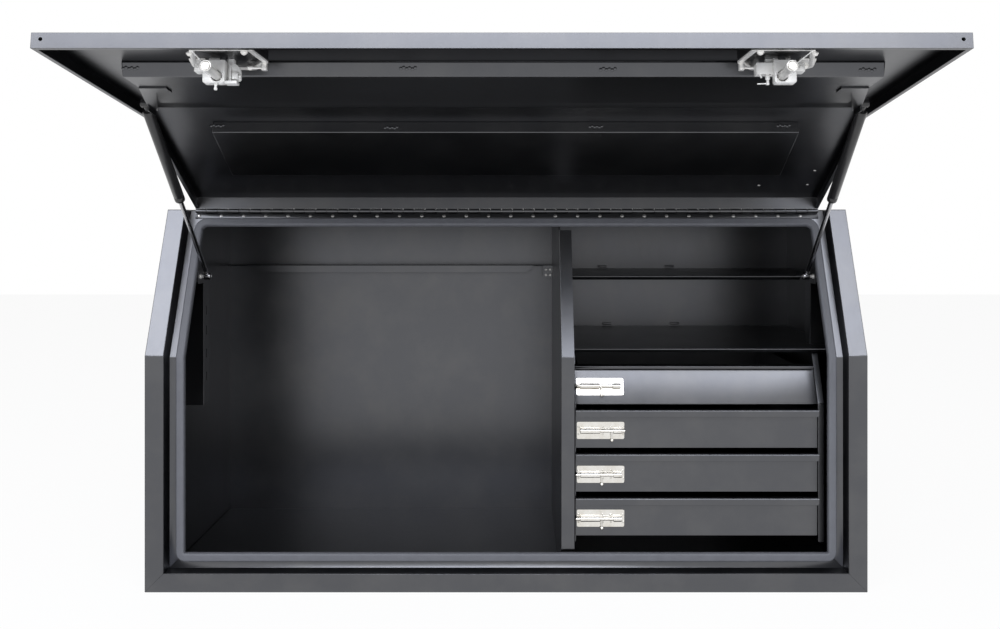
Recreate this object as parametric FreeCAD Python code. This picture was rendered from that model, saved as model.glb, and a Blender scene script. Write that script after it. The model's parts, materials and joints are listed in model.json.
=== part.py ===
import FreeCAD, Part
import math
import os

os.makedirs("parts", exist_ok=True)

# A side-opening vehicle toolbox of bent aluminium sheet: one wide kinked lid on a long hinge,
# two gas struts, an open bay on the left, and two shelves over four drawers on the right.
# The solids are drawn with x to the right, y into the box from its front face and z up from
# its underside. On saving they move so that the origin is the middle of the underside.
# The front face is upright up to the kink and leans back above it. An offset v is measured
# square to that face, inwards, and w runs up the leaning face from the kink.

# Box
box_width = 1600.0
box_depth = 620.0
box_height = 850.0
kink_height = 523.0
top_setback = 140.0
sheet = 2.5
through = 2.0
half_width = box_width / 2
slope = math.atan2(top_setback, box_height - kink_height)
slant_length = math.hypot(top_setback, box_height - kink_height)
usual_rise = 327.0
rise_share = (box_height - kink_height) / usual_rise

# Drawing of small round pieces
flats = 8
tube_flats = 14
ball_bands = 3
corner_chords = 3
arc_from_radius = 15.0
quarter_turn = 90.0

# Front frame: a flat band, a rebate for the lid and a flange that carries the seal
band = 42.0
rebate = 38.0
band_edge = half_width - band
flange_width = 25.0
opening_edge = band_edge - flange_width
opening_low = 66.0
opening_top_margin = 16.7
opening_high = slant_length - opening_top_margin
opening_low_radius = 31.0
opening_high_radius = 41.0

# Seal round the opening: a soft strip with a slot that rides on the flange's edge
seal_outside = 9.0
seal_inside = 11.0
seal_front = 26.5
seal_back = 44.0
soft_clearance = 0.3

# Lid
lid_side_gap = 11.5
half_lid = band_edge - lid_side_gap
lid_low = 51.0
lid_depth = 26.0
lid_return = 8.5
lid_open_angle = 97.0
vent_inset = 15.5
vent_x = half_lid - vent_inset
vent_v = 11.0
vent_radius = 3.2

# Hinge
knuckle_radius = 5.0
hinge_pin_radius = 3.0
pin_seat = 0.05
pin_clearance = 0.2
leaf_thickness = 2.0
leaf_end_gap = 1.5
leaf_half_width = half_lid - leaf_end_gap
leaf_setback = 8.0
lid_leaf_front = top_setback + leaf_setback
knuckle_clearance = 0.5
knuckle_to_flange = 0.4
knuckle_pairs = 10
pin_z = box_height + leaf_thickness - knuckle_radius
pin_v = rebate - knuckle_to_flange - knuckle_radius
pin_y = pin_v / math.cos(slope) + (pin_z - kink_height) * math.tan(slope)
pin_w = pin_y * math.sin(slope) + (pin_z - kink_height) * math.cos(slope)
leaf_reach = 17.4
leaf_low = pin_w - leaf_reach
rivets_per_leaf = 28
rivet_inset = 24.1
rivet_pitch = 2 * (leaf_half_width - rivet_inset) / (rivets_per_leaf - 1)
rivet_radius = 3.6
rivet_height = 1.2
body_rivet_rise = 6.0
body_rivet_w = leaf_low + body_rivet_rise
lid_rivet_setback = 9.0
lid_rivet_y = lid_leaf_front + lid_rivet_setback

# Lid stiffeners: shallow hats with sloping sides
lower_hat_inset = 81.5
lower_hat_half_width = half_lid - lower_hat_inset
lower_hat_low = 198.0
lower_hat_high = 398.0
lower_hat_depth = 27.5
upper_hat_inset = 124.5
upper_hat_half_width = half_lid - upper_hat_inset
upper_hat_low = 50.0 * rise_share
upper_hat_margin = 105.0 * rise_share
upper_hat_high = opening_high - upper_hat_margin
upper_hat_depth = 24.0
hat_slope = 9.0
lid_rivet_insets = ((152.5, 97.0), (39.5, 101.0), (153.5, 38.0), (40.5, 41.0))

# Divider, shelves and rail
divider_x = 124.0
divider_flange = 30.0
divider_front = 45.0
divider_flange_low = 81.0
divider_flange_margin = 17.0
divider_flange_high = opening_high - divider_flange_margin
shelf_lip = 13.0
upper_shelf_drop = 159.0 * rise_share
upper_shelf_z = box_height - upper_shelf_drop
upper_shelf_front = 175.0
shelf_notch_y = 228.0
lower_shelf_rise = 4.0
lower_shelf_z = kink_height + lower_shelf_rise
lower_shelf_front = 95.0
rail_drop = 148.5 * rise_share
rail_top = box_height - rail_drop
rail_lip = 20.5
rail_reach = 42.0
rail_end_gap = 6.5
rail_lip_insets = (85.0, 72.0)
rail_rake = 22.0
rail_plate_width = 26.0
rail_plate_lip = 35.5
rail_bolt_radius = 3.6
rail_bolt_height = 4.0
rail_bolt_insets = ((18.0, 27.5), (18.0, 12.5), (6.0, 27.5), (6.0, 12.5))

# Strut posts and the studs of the gas struts
post_reach = 71.0
post_inner = half_width - post_reach
post_front = 185.0
post_back = 225.0
post_drop = 176.0 * rise_share
post_top = box_height - post_drop
left_post_length = 294.0
left_post_low = post_top - left_post_length
ear_front = 145.0
ear_height = 32.0
ear_top = post_top + ear_height
slot_drops = (67.0, 115.4, 171.2, 227.1)
slot_length = 22.0
slot_width = 6.0
shelf_notch_gap = 25.0
body_stud_reach = 17.0
body_stud_x = post_inner - body_stud_reach
body_stud_y = 160.0
body_stud_rise = 17.5
body_stud_z = post_top + body_stud_rise
stud_radius = 4.0
stud_gap = 0.5
nut_radius = 6.5
nut_height = 4.5

# Gas struts
strut_splay = 4.0
lid_stud_x = body_stud_x - strut_splay
lid_stud_height = 420.0
lid_stud_v = 20.0
ball_radius = 5.0
ball_clearance = 0.3
shank_radius = 3.0
shank_clearance = 0.6
socket_radius = 8.5
socket_half = 8.0
rod_end_radius = 8.0
rod_end_half = 8.0
neck_radius = 5.5
neck_start = 6.0
tube_start = 18.0
tube_end = 275.0
tube_radius = 11.0
tube_bore = 9.0
bore_start = 22.0
gland_start = 268.0
rod_radius = 5.0
rod_clearance = 0.4
rod_tail = 250.0
piston_radius = 8.6
piston_length = 7.0

# Strut brackets on the lid
bracket_plate = 3.0
lid_stud_reach = 12.5
bracket_tab_x = lid_stud_x - bracket_plate - lid_stud_reach
bracket_tab_low = 401.0
bracket_tab_high = 439.0
bracket_tab_front = 6.0
bracket_foot_insets = (53.0, 3.0)
bracket_foot_z = (273.0, 301.0)
bracket_arm_inset = 25.0
bracket_hook = 40.0
collar_radius = 6.0
collar_height = 2.5

# Lid latches, right-hand one, as a mirrored pair, drawn from the axis of the latch
latch_inset = 281.5
latch_x = half_lid - latch_inset
latch_z = 131.0
dish_outline = ((39.0, -58.0), (-61.0, -58.0), (-71.0, 18.0), (-38.0, 60.0), (68.0, 51.0))
dish_corner = 13.0
dish_wall = 2.0
dish_depth = 18.0
dish_bezel = 1.6
bezel_overlap = 6.0
frame_width = 9.0
frame_thickness = 3.0
web_inset = 30.0
web_low = -4.0
boss_radius = 6.0
boss_height = 5.0
boss_places = ((43.0, -39.0), (-47.0, -45.0), (-33.0, 41.0), (49.0, 35.0))
case_half_width = 18.0
case_shift = {"right": 0.0, "left": 9.5}
bolt_inset = 6.0
case_half_height = 20.0
case_low = latch_z - case_half_height
case_high = latch_z + case_half_height
case_top = 65.0
case_corner = 4.0
slam_radius = 9.0
slam_clearance = 0.4
slam_v = 53.8
slam_tail = 122.0
slam_taper = 3.0
spindle_radius = 6.0
spindle_clearance = 0.3
spindle_end = 38.0
handle_front = 1.5
handle_back = 12.0
handle_half_length = 42.0
handle_half_width = 9.0
handle_boss_radius = 14.0
handle_gap = 0.5
plug_radius = 6.0
plug_clearance = 0.2
plug_depth = 7.0
key_slot_width = 1.4
key_slot_height = 7.0
key_slot_depth = 3.0
cam_width = 22.0
cam_low = 24.0
cam_thickness = 5.0
cam_arch = 15.0
cam_foot_width = 14.0
cam_foot_height = 5.0
cam_foot_depth = 16.0
yoke_wall = 3.0
yoke_depth = 16.0
lever_radius = 3.0
lever_length = 11.0
lever_inset = 4.0
barrel_length = 27.0
barrel_radius = 10.0
barrel_v = 41.0
side_pin_radius = 3.0
side_pin_end = 63.0

# Drawer unit
drawer_low = 105.0
drawer_count = 4
shelf_clearance = 22.0
drawer_pitch = (lower_shelf_z - shelf_clearance - drawer_low) / drawer_count
face_y = 66.0
face_gap = 3.5
face_left = divider_x + divider_flange + face_gap
unit_inset = 76.0
unit_right = half_width - unit_inset
face_inset = 15.0
face_right = unit_right - face_inset
face_margin = 11.0
face_height = drawer_pitch - face_margin
leaning_face_margin = 5.5
leaning_face_height = drawer_pitch - leaning_face_margin
face_lip_reach = 16.0
face_lip_drop = 16.0
leaning_lip_drop = 6.0
lip_corner = 4.5
unit_low = 90.0
unit_margin = 1.0
unit_left = face_left - unit_margin
unit_gap = 1.0
unit_flange = 15.5
unit_back_gap = 20.0
unit_back = box_depth - unit_back_gap
tray_side_gap = 13.0
tray_left = unit_left + sheet + tray_side_gap
runner_spacer = 13.0
tray_right = unit_right - runner_spacer - tray_side_gap
tray_sheet = 1.5
tray_rise = 4.0
tray_margin = 34.0
tray_height = drawer_pitch - tray_margin
tray_back_gap = 60.0
tray_back = box_depth - tray_back_gap
runner_front = 110.0
runner_overhang = 10.0
runner_back = tray_back + runner_overhang
rail_margin = 22.0
fixed_rail_height = tray_height - rail_margin
fixed_rail_width = 9.0
runner_play = 0.3
spacer_margin = 16.0
spacer_height = fixed_rail_height - spacer_margin
moving_rail_width = 9.0
runner_sheet = 1.5
moving_rail_height = fixed_rail_height - 2 * (runner_sheet + runner_play)

# Barrel bolts on the drawer faces
plate_inset = 2.5
plate_left = face_left + plate_inset
plate_length = 109.0
plate_right = plate_left + plate_length
plate_height = 40.0
plate_middle = 40.0
plate_thickness = 1.5
bolt_axis = 7.0
bolt_radius = 4.0
bolt_clearance = 0.4
bolt_tip = -4.0
bolt_tail = 87.0
front_guide = (8.0, 53.0)
rear_guide = (83.0, 102.0)
guide_radius = 6.5
guide_slot_left = 36.0
guide_slot_half = 3.4
knob_along = 57.0
knob_drop = 21.0
knob_radius = 4.2
stem_radius = 2.4
retracted_drawer = 3
bolt_retraction = 23.0


def vector(x, y, z):
    return FreeCAD.Vector(x, y, z)


def block(x0, x1, y0, y1, z0, z1):
    return Part.makeBox(x1 - x0, y1 - y0, z1 - z0, vector(x0, y0, z0))


def prism_x(points, x0, x1):
    """Solid with the (y, z) outline between two x values."""
    corners = [vector(x0, y, z) for y, z in points]
    return Part.Face(Part.makePolygon(corners + corners[:1])).extrude(vector(x1 - x0, 0, 0))


def prism_y(points, y0, y1):
    """Solid with the (x, z) outline between two y values."""
    corners = [vector(x, y0, z) for x, z in points]
    return Part.Face(Part.makePolygon(corners + corners[:1])).extrude(vector(0, y1 - y0, 0))


def rod(radius, start, end):
    """Round bar from one point to another."""
    axis = end - start
    return Part.makeCylinder(radius, axis.Length, start, axis)


def rod_x(radius, x0, x1, y, z):
    return rod(radius, vector(x0, y, z), vector(x1, y, z))


def rod_z(radius, z0, z1, x, y):
    return rod(radius, vector(x, y, z0), vector(x, y, z1))


def flat_sided(radius, start, end, sides=flats):
    """Bar whose round section is drawn with a few flats, for small and repeated pieces."""
    axis = end - start
    turn = FreeCAD.Rotation(vector(0, 0, 1), axis)
    corners = []
    for step in range(sides + 1):
        angle = math.tau * (step % sides) / sides
        spoke = vector(radius * math.cos(angle), radius * math.sin(angle), 0)
        corners.append(start + turn.multVec(spoke))
    return Part.Face(Part.makePolygon(corners)).extrude(axis)


def stub_x(radius, x0, x1, y, z):
    return flat_sided(radius, vector(x0, y, z), vector(x1, y, z))


def stub_y(radius, y0, y1, x, z):
    return flat_sided(radius, vector(x, y0, z), vector(x, y1, z))


def stub_z(radius, z0, z1, x, y):
    return flat_sided(radius, vector(x, y, z0), vector(x, y, z1))


def knob(radius, centre):
    """Small ball on the x axis, turned with a few flats like the bars that carry it."""
    rings = []
    for step in range(ball_bands):
        angle = math.pi * (step + 1) / (ball_bands + 1)
        reach = radius * math.sin(angle)
        ring = [vector(-radius * math.cos(angle), reach * math.cos(math.tau * flat / flats),
                       reach * math.sin(math.tau * flat / flats)) + centre
                for flat in range(flats)]
        rings.append(Part.makePolygon(ring + ring[:1]))
    return Part.makeLoft(rings, True, True)


def around(radius):
    """Radius of a flat-sided hole that clears a round bar of this radius."""
    return radius / math.cos(math.pi / flats)


def joined(pieces):
    """One solid from pieces that touch."""
    whole = pieces[0].fuse(pieces[1:])
    return whole.removeSplitter()


def mirrored(shape):
    return shape.mirror(vector(0, 0, 0), vector(1, 0, 0))


def chords(centre, start, end):
    """Edges of a few chords that stand in for a small arc in a plane of constant y."""
    first = start - centre
    turn = math.degrees(first.getAngle(end - centre))
    if first.cross(end - centre).y < 0:
        turn = -turn
    points = [centre + FreeCAD.Rotation(vector(0, 1, 0), turn * step / corner_chords).multVec(first)
              for step in range(corner_chords + 1)]
    return [Part.LineSegment(here, there).toShape() for here, there in zip(points, points[1:])]


def rounded_prism(corners, y0, y1):
    """Solid between two y values whose (x, z) corners are rounded by the third value of each.

    A small corner is drawn with a few chords and a larger one with an arc.
    """
    edges = []
    stops = []
    count = len(corners)
    for index, (x, z, radius) in enumerate(corners):
        corner = vector(x, y0, z)
        before = vector(corners[index - 1][0], y0, corners[index - 1][1]) - corner
        after = vector(corners[(index + 1) % count][0], y0, corners[(index + 1) % count][1]) - corner
        if radius == 0:
            stops.append((corner, corner))
            continue
        half_angle = before.getAngle(after) / 2
        before.normalize()
        after.normalize()
        reach = radius / math.tan(half_angle)
        inward = before + after
        inward.normalize()
        start = corner + before * reach
        end = corner + after * reach
        stops.append((start, end))
        if radius < arc_from_radius:
            edges += chords(corner + inward * (radius / math.sin(half_angle)), start, end)
            continue
        middle = corner + inward * (radius / math.sin(half_angle) - radius)
        edges.append(Part.Arc(start, middle, end).toShape())
    for index in range(count):
        leave = stops[index - 1][1]
        arrive = stops[index][0]
        if leave.distanceToPoint(arrive) > soft_clearance:
            edges.append(Part.LineSegment(leave, arrive).toShape())
    wire = Part.Wire(Part.__sortEdges__(edges))
    return Part.Face(wire).extrude(vector(0, y1 - y0, 0))


def lean_back(shape, pivot_y=0.0, pivot_z=kink_height):
    """Tip an upright piece back by the slope of the upper front."""
    leaning = shape.copy()
    leaning.rotate(vector(0, pivot_y, pivot_z), vector(1, 0, 0), -math.degrees(slope))
    return leaning


def open_lid(shape):
    """Swing a piece of the closed lid up to where the lid rests."""
    opened = shape.copy()
    opened.rotate(vector(0, pin_y, pin_z), vector(1, 0, 0), -lid_open_angle)
    return opened


def kink_point(offset):
    return (offset, kink_height - offset * math.tan(slope / 2))


def slant_point(along, offset):
    return (along * math.sin(slope) + offset * math.cos(slope),
            kink_height + along * math.cos(slope) - offset * math.sin(slope))


def slant_y(offset, height):
    """Depth of the leaning face's offset plane at a height."""
    return offset / math.cos(slope) + (height - kink_height) * math.tan(slope)


def front_strip(x0, x1, v0, v1, low, along):
    """Sheet that follows the kinked front between two offsets."""
    outline = [(v0, low), kink_point(v0), slant_point(along, v0),
               slant_point(along, v1), kink_point(v1), (v1, low)]
    return prism_x(outline, x0, x1)


def below(height):
    """Space under a height, wider than the box."""
    return block(-box_width, box_width, -box_depth, 2 * box_depth, -box_height, height)


def opening_prism(half, low, along, low_radius, high_radius, v0, v1):
    """Space inside a rounded outline on the kinked front, between two offsets."""
    tilt = math.tan(slope / 2)
    far = box_depth
    under = prism_x([(-far, kink_height + far * tilt), (far, kink_height - far * tilt),
                     (far, -far), (-far, -far)], -box_width, box_width)
    over = prism_x([(-far, kink_height - far * tilt), (far, kink_height + far * tilt),
                    (far, far + box_height), (-far, far + box_height)], -box_width, box_width)
    lower = rounded_prism([(-half, low, low_radius), (half, low, low_radius),
                           (half, kink_height + far, 0), (-half, kink_height + far, 0)], v0, v1)
    upper = rounded_prism([(-half, low, 0), (half, low, 0),
                           (half, kink_height + along, high_radius),
                           (-half, kink_height + along, high_radius)], v0, v1)
    return joined([lower.common(under), lean_back(upper.common(over))])


# Box shell

def front_flange():
    """Flange behind the rebate, all the way round the opening."""
    plate = opening_prism(band_edge + sheet, band - sheet, slant_length + rebate, 0, 0,
                          rebate, rebate + sheet)
    hole = opening_prism(opening_edge, opening_low, opening_high, opening_low_radius,
                         opening_high_radius, rebate - through, rebate + sheet + through)
    return plate.cut(hole).common(below(box_height - sheet))


def mitre_height():
    return opening_low + opening_low_radius + through


def side_panel(flange):
    outline = [(0, 0), (0, kink_height), (top_setback, box_height),
               (box_depth - sheet, box_height), (box_depth - sheet, 0)]
    wall = prism_x(outline, half_width - sheet, half_width)
    reach = slant_length + rebate
    face = front_strip(band_edge, half_width, 0, sheet, 0, reach)
    return_wall = front_strip(band_edge, band_edge + sheet, 0, rebate + sheet, 0, reach)
    top = below(box_height - sheet)
    cap_space = block(band_edge, half_width, 0, box_depth, box_height - sheet, box_height)
    cap = front_strip(band_edge, half_width, 0, rebate, 0, reach).common(cap_space)
    whole = joined([wall, face.common(top), return_wall.common(top), flange, cap])
    level = mitre_height()
    keep = prism_y([(half_width + through, -through), (half_width + through, box_height + through),
                    (opening_edge, box_height + through), (opening_edge, level),
                    (half_width - level, level)], -through, box_depth + through)
    return whole.common(keep)


def base_panel(flange):
    floor = block(-half_width, half_width, 0, box_depth - sheet, 0, sheet)
    face = block(-half_width, half_width, 0, sheet, 0, band)
    return_wall = block(-half_width, half_width, 0, rebate + sheet, band - sheet, band)
    level = mitre_height()
    keep = prism_y([(-half_width - through, -through), (half_width + through, -through),
                    (half_width - level, level), (level - half_width, level)],
                   -through, box_depth + through)
    return joined([floor, face, return_wall, flange.common(keep)]).common(keep)


def roof_panel(flange):
    plate = prism_x([(slant_y(rebate, box_height), box_height), (box_depth - sheet, box_height),
                     (box_depth - sheet, box_height - sheet),
                     (slant_y(rebate, box_height - sheet), box_height - sheet)],
                    sheet - half_width, half_width - sheet)
    keep = block(-opening_edge, opening_edge, 0, box_depth, kink_height + rebate, box_height)
    return joined([plate, flange.common(keep)])


def back_panel():
    return block(-half_width, half_width, box_depth - sheet, box_depth, 0, box_height)


def door_seal():
    """Seal ring with its slot, clear of the flange by the soft clearance."""
    outer = opening_prism(opening_edge + seal_outside, opening_low - seal_outside,
                          opening_high + seal_outside, opening_low_radius + seal_outside,
                          opening_high_radius + seal_outside, seal_front, seal_back)
    inner = opening_prism(opening_edge - seal_inside, opening_low + seal_inside,
                          opening_high - seal_inside, opening_low_radius - seal_inside,
                          opening_high_radius - seal_inside, seal_front - through,
                          seal_back + through)
    slot_front = rebate - soft_clearance
    slot_back = rebate + sheet + soft_clearance
    slot_room = opening_prism(band_edge, band, opening_high + band, 0, 0, slot_front, slot_back)
    slot_core = opening_prism(opening_edge - soft_clearance, opening_low + soft_clearance,
                              opening_high - soft_clearance, opening_low_radius - soft_clearance,
                              opening_high_radius - soft_clearance, slot_front - through,
                              slot_back + through)
    return outer.cut(inner).cut(slot_room.cut(slot_core))


# Inside of the box

def divider_panel():
    back = divider_front + sheet
    ceiling = box_height - sheet
    outline = [(back, sheet), kink_point(back), (slant_y(back, ceiling), ceiling),
               (box_depth - sheet, ceiling), (box_depth - sheet, sheet)]
    panel = prism_x(outline, divider_x, divider_x + sheet)
    flange = front_strip(divider_x, divider_x + divider_flange, divider_front, back,
                         divider_flange_low, divider_flange_high)
    return joined([panel, flange])


def shelf(front, top):
    left = divider_x + sheet
    right = half_width - sheet
    outline = [(front, top), (box_depth - sheet, top), (box_depth - sheet, top - sheet),
               (front + sheet, top - sheet), (front + sheet, top - shelf_lip), (front, top - shelf_lip)]
    return prism_x(outline, left, right)


def upper_shelf():
    notch = block(post_inner - shelf_notch_gap, half_width, 0, shelf_notch_y,
                  upper_shelf_z - box_depth, upper_shelf_z + through)
    return shelf(upper_shelf_front, upper_shelf_z).cut(notch)


def lower_shelf():
    return shelf(lower_shelf_front, lower_shelf_z)


def back_rail():
    """Rail along the rear wall of the open bay, with a plate for its bolts by the divider."""
    wall = box_depth - sheet
    front = wall - rail_reach
    low = rail_top - rail_lip
    lip_left = rail_lip_insets[0] - half_width
    lip_right = divider_x - rail_lip_insets[1]
    top = block(sheet + rail_end_gap - half_width, divider_x, front, wall, rail_top - sheet,
                rail_top)
    lip = prism_y([(lip_left - rail_rake, rail_top), (lip_left, low), (lip_right, low),
                   (lip_right + rail_rake, rail_top)], front, front + sheet)
    plate = block(divider_x - rail_plate_width, divider_x, front, front + sheet,
                  rail_top - rail_plate_lip, rail_top)
    return joined([top, lip, plate])


def rail_bolts():
    face = box_depth - sheet - rail_reach
    return Part.makeCompound([stub_y(rail_bolt_radius, face - rail_bolt_height, face,
                                     divider_x - inset, rail_top - drop)
                              for inset, drop in rail_bolt_insets])


def strut_post(low, slots):
    """Channel on the right side wall with an ear that carries the strut's stud."""
    wall = half_width - sheet
    channel = block(post_inner, wall, post_front, post_back, low, post_top)
    hollow = block(post_inner + sheet, half_width, post_front + sheet, post_back - sheet,
                   low - through, post_top + through)
    ear = block(post_inner, post_inner + sheet, ear_front, post_back, post_top, ear_top)
    post = joined([channel.cut(hollow), ear])
    middle = (post_front + post_back) / 2
    for drop in slots:
        height = post_top - drop
        slot = block(post_inner - through, post_inner + sheet + through,
                     middle - slot_width / 2, middle + slot_width / 2,
                     height - slot_length / 2, height + slot_length / 2)
        post = post.cut(slot)
    return post


def body_ball_stud():
    """Stud on the right ear, ending just short of the strut's end."""
    start = body_stud_x + rod_end_half + stud_gap
    shank = stub_x(stud_radius, start, post_inner, body_stud_y, body_stud_z)
    collar = stub_x(nut_radius, post_inner - collar_height, post_inner, body_stud_y, body_stud_z)
    nut = stub_x(nut_radius, post_inner + sheet, post_inner + sheet + nut_height,
                 body_stud_y, body_stud_z)
    return Part.makeCompound([joined([shank, collar]), nut])


# Hinge

def knuckle_spans(first):
    """Spans in x of every second knuckle."""
    pitch = 2 * leaf_half_width / (2 * knuckle_pairs)
    return [(-leaf_half_width + pitch * index + knuckle_clearance / 2,
             -leaf_half_width + pitch * (index + 1) - knuckle_clearance / 2)
            for index in range(first, 2 * knuckle_pairs, 2)]


def hinge_leaf_body():
    leaf_end = pin_w - knuckle_radius - knuckle_clearance
    leaf = block(-leaf_half_width, leaf_half_width, rebate - leaf_thickness, rebate,
                 kink_height + leaf_low, kink_height + leaf_end)
    tabs = [block(x0, x1, rebate - leaf_thickness, rebate, kink_height + leaf_end,
                  kink_height + pin_w) for x0, x1 in knuckle_spans(0)]
    knuckles = [stub_x(knuckle_radius, x0, x1, pin_v, kink_height + pin_w)
                for x0, x1 in knuckle_spans(0)]
    bore = stub_x(around(hinge_pin_radius + pin_seat), -half_width, half_width, pin_v,
                  kink_height + pin_w)
    return lean_back(joined([leaf] + tabs + knuckles).cut(bore))


def hinge_leaf_lid():
    leaf_end = pin_y - knuckle_radius - knuckle_clearance
    top = box_height + leaf_thickness
    leaf = block(-leaf_half_width, leaf_half_width, lid_leaf_front, leaf_end, box_height, top)
    tabs = [block(x0, x1, leaf_end, pin_y, box_height, top) for x0, x1 in knuckle_spans(1)]
    knuckles = [stub_x(knuckle_radius, x0, x1, pin_y, pin_z) for x0, x1 in knuckle_spans(1)]
    bore = stub_x(around(hinge_pin_radius + pin_clearance), -half_width, half_width, pin_y,
                  pin_z)
    return open_lid(joined([leaf] + tabs + knuckles).cut(bore))


def hinge_pin():
    return rod_x(hinge_pin_radius, -leaf_half_width, leaf_half_width, pin_y, pin_z)


def rivet_row():
    start = -rivet_pitch * (rivets_per_leaf - 1) / 2
    return [start + rivet_pitch * index for index in range(rivets_per_leaf)]


def hinge_rivets_body():
    front = rebate - leaf_thickness
    heads = [stub_y(rivet_radius, front - rivet_height, front, x, kink_height + body_rivet_w)
             for x in rivet_row()]
    return lean_back(Part.makeCompound(heads))


def hinge_rivets_lid():
    top = box_height + leaf_thickness
    heads = [stub_z(rivet_radius, top, top + rivet_height, x, lid_rivet_y) for x in rivet_row()]
    return open_lid(Part.makeCompound(heads))


# Lid

def latch_cutout(depth_start, depth_end, grow=0.0):
    """Prism with the outline of the latch dish, grown or shrunk."""
    corners = [(latch_x + x, latch_z + z, dish_corner) for x, z in dish_outline]
    solid = rounded_prism(corners, depth_start, depth_end)
    if grow == 0:
        return solid
    face = [f for f in solid.Faces if abs(f.CenterOfMass.y - depth_start) < through
            and abs(f.normalAt(0, 0).y) > math.cos(slope)][0]
    return face.makeOffset2D(grow).extrude(vector(0, depth_end - depth_start, 0))


def lid_panel():
    reach = slant_length + rebate
    skin = front_strip(-half_lid, half_lid, 0, sheet, lid_low, reach)
    pieces = [skin, block(-half_lid, half_lid, 0, lid_depth, lid_low, lid_low + sheet),
              block(-half_lid, half_lid, lid_depth - sheet, lid_depth, lid_low, lid_low + lid_return)]
    for side in (1, -1):
        edges = sorted((side * half_lid, side * (half_lid - sheet)))
        returns = sorted((side * half_lid, side * (half_lid - lid_return)))
        pieces.append(front_strip(edges[0], edges[1], 0, lid_depth, lid_low, reach))
        pieces.append(front_strip(returns[0], returns[1], lid_depth - sheet, lid_depth,
                                  lid_low, reach))
    top_end = pin_y - knuckle_radius - knuckle_clearance
    pieces.append(prism_x([(slant_y(0, box_height), box_height), (top_end, box_height),
                           (top_end, box_height - sheet),
                           (slant_y(0, box_height - sheet), box_height - sheet)],
                          -half_lid, half_lid))
    panel = joined([piece.common(below(box_height)) for piece in pieces])
    for side in (1, -1):
        panel = panel.cut(rod_z(vent_radius, lid_low - through, lid_low + sheet + through,
                                side * vent_x, vent_v))
    dish = latch_cutout(-through, sheet + through)
    return open_lid(panel.cut(dish).cut(mirrored(dish)))


def hat(half, low, high, depth):
    """Shallow pan with sloping sides, open towards the skin."""
    outer = prism_x([(sheet, low), (depth, low + hat_slope), (depth, high - hat_slope),
                     (sheet, high)], -half, half)
    inner = prism_x([(sheet - through, low + sheet), (depth - sheet, low + hat_slope + sheet / 2),
                     (depth - sheet, high - hat_slope - sheet / 2), (sheet - through, high - sheet)],
                    sheet - half, half - sheet)
    return outer.cut(inner)


def lid_stiffener_lower():
    return open_lid(hat(lower_hat_half_width, lower_hat_low, lower_hat_high, lower_hat_depth))


def lid_stiffener_upper():
    upright = hat(upper_hat_half_width, kink_height + upper_hat_low,
                  kink_height + upper_hat_high, upper_hat_depth)
    return open_lid(lean_back(upright))


def lid_rivets():
    """Four rivets through the upper part of the lid, tails inside and heads outside."""
    heads = []
    for inset, drop in lid_rivet_insets:
        x = half_lid - inset
        height = kink_height + opening_high - drop
        heads.append(stub_y(rivet_radius, sheet, sheet + rivet_height, x, height))
        heads.append(stub_y(rivet_radius, -rivet_height, 0, x, height))
    return open_lid(lean_back(Part.makeCompound(heads)))


def strut_bracket():
    """Arm from the lower stiffener out to the right-hand strut's stud."""
    outer = bracket_tab_x + bracket_plate
    foot_inner = lower_hat_half_width - bracket_foot_insets[0]
    foot_outer = lower_hat_half_width - bracket_foot_insets[1]
    arm_x = lower_hat_half_width - bracket_arm_inset
    arm = prism_y([(foot_inner, bracket_foot_z[0]), (foot_outer, bracket_foot_z[0]),
                   (outer, bracket_tab_low), (outer, bracket_tab_high),
                   (bracket_tab_x - bracket_plate, bracket_tab_high),
                   (arm_x, bracket_foot_z[1]), (foot_inner, bracket_foot_z[1])],
                  lower_hat_depth, lower_hat_depth + bracket_plate)
    tab = block(bracket_tab_x, outer, bracket_tab_front, bracket_hook,
                bracket_tab_low, bracket_tab_high)
    return joined([arm, tab])


def strut_brackets():
    bracket = strut_bracket()
    return open_lid(Part.makeCompound([bracket, mirrored(bracket)]))


def lid_ball_stud():
    """Ball on its shank through the bracket's tab, with a nut behind."""
    start = bracket_tab_x + bracket_plate
    shank = stub_x(shank_radius, start, lid_stud_x, lid_stud_v, lid_stud_height)
    ball = knob(ball_radius, vector(lid_stud_x, lid_stud_v, lid_stud_height))
    collar = stub_x(collar_radius, start, start + collar_height, lid_stud_v, lid_stud_height)
    nut = stub_x(collar_radius, bracket_tab_x - nut_height, bracket_tab_x, lid_stud_v,
                 lid_stud_height)
    return Part.makeCompound([joined([shank, ball, collar]), nut])


def lid_ball_studs():
    stud = lid_ball_stud()
    return open_lid(Part.makeCompound([stud, mirrored(stud)]))


# Gas struts, right-hand one

def strut_ends():
    """Centres of the strut's lid ball and body stud with the lid up."""
    ball = Part.Vertex(lid_stud_x, lid_stud_v, lid_stud_height)
    ball.rotate(vector(0, pin_y, pin_z), vector(1, 0, 0), -lid_open_angle)
    return ball.Point, vector(body_stud_x, body_stud_y, body_stud_z)


def strut_length():
    start, end = strut_ends()
    return (end - start).Length


def along_strut(shape):
    """Move a piece drawn up the z axis onto the strut's line."""
    start, end = strut_ends()
    placed = shape.copy()
    placed.Placement = FreeCAD.Placement(start, FreeCAD.Rotation(vector(0, 0, 1), end - start))
    return placed


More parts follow.
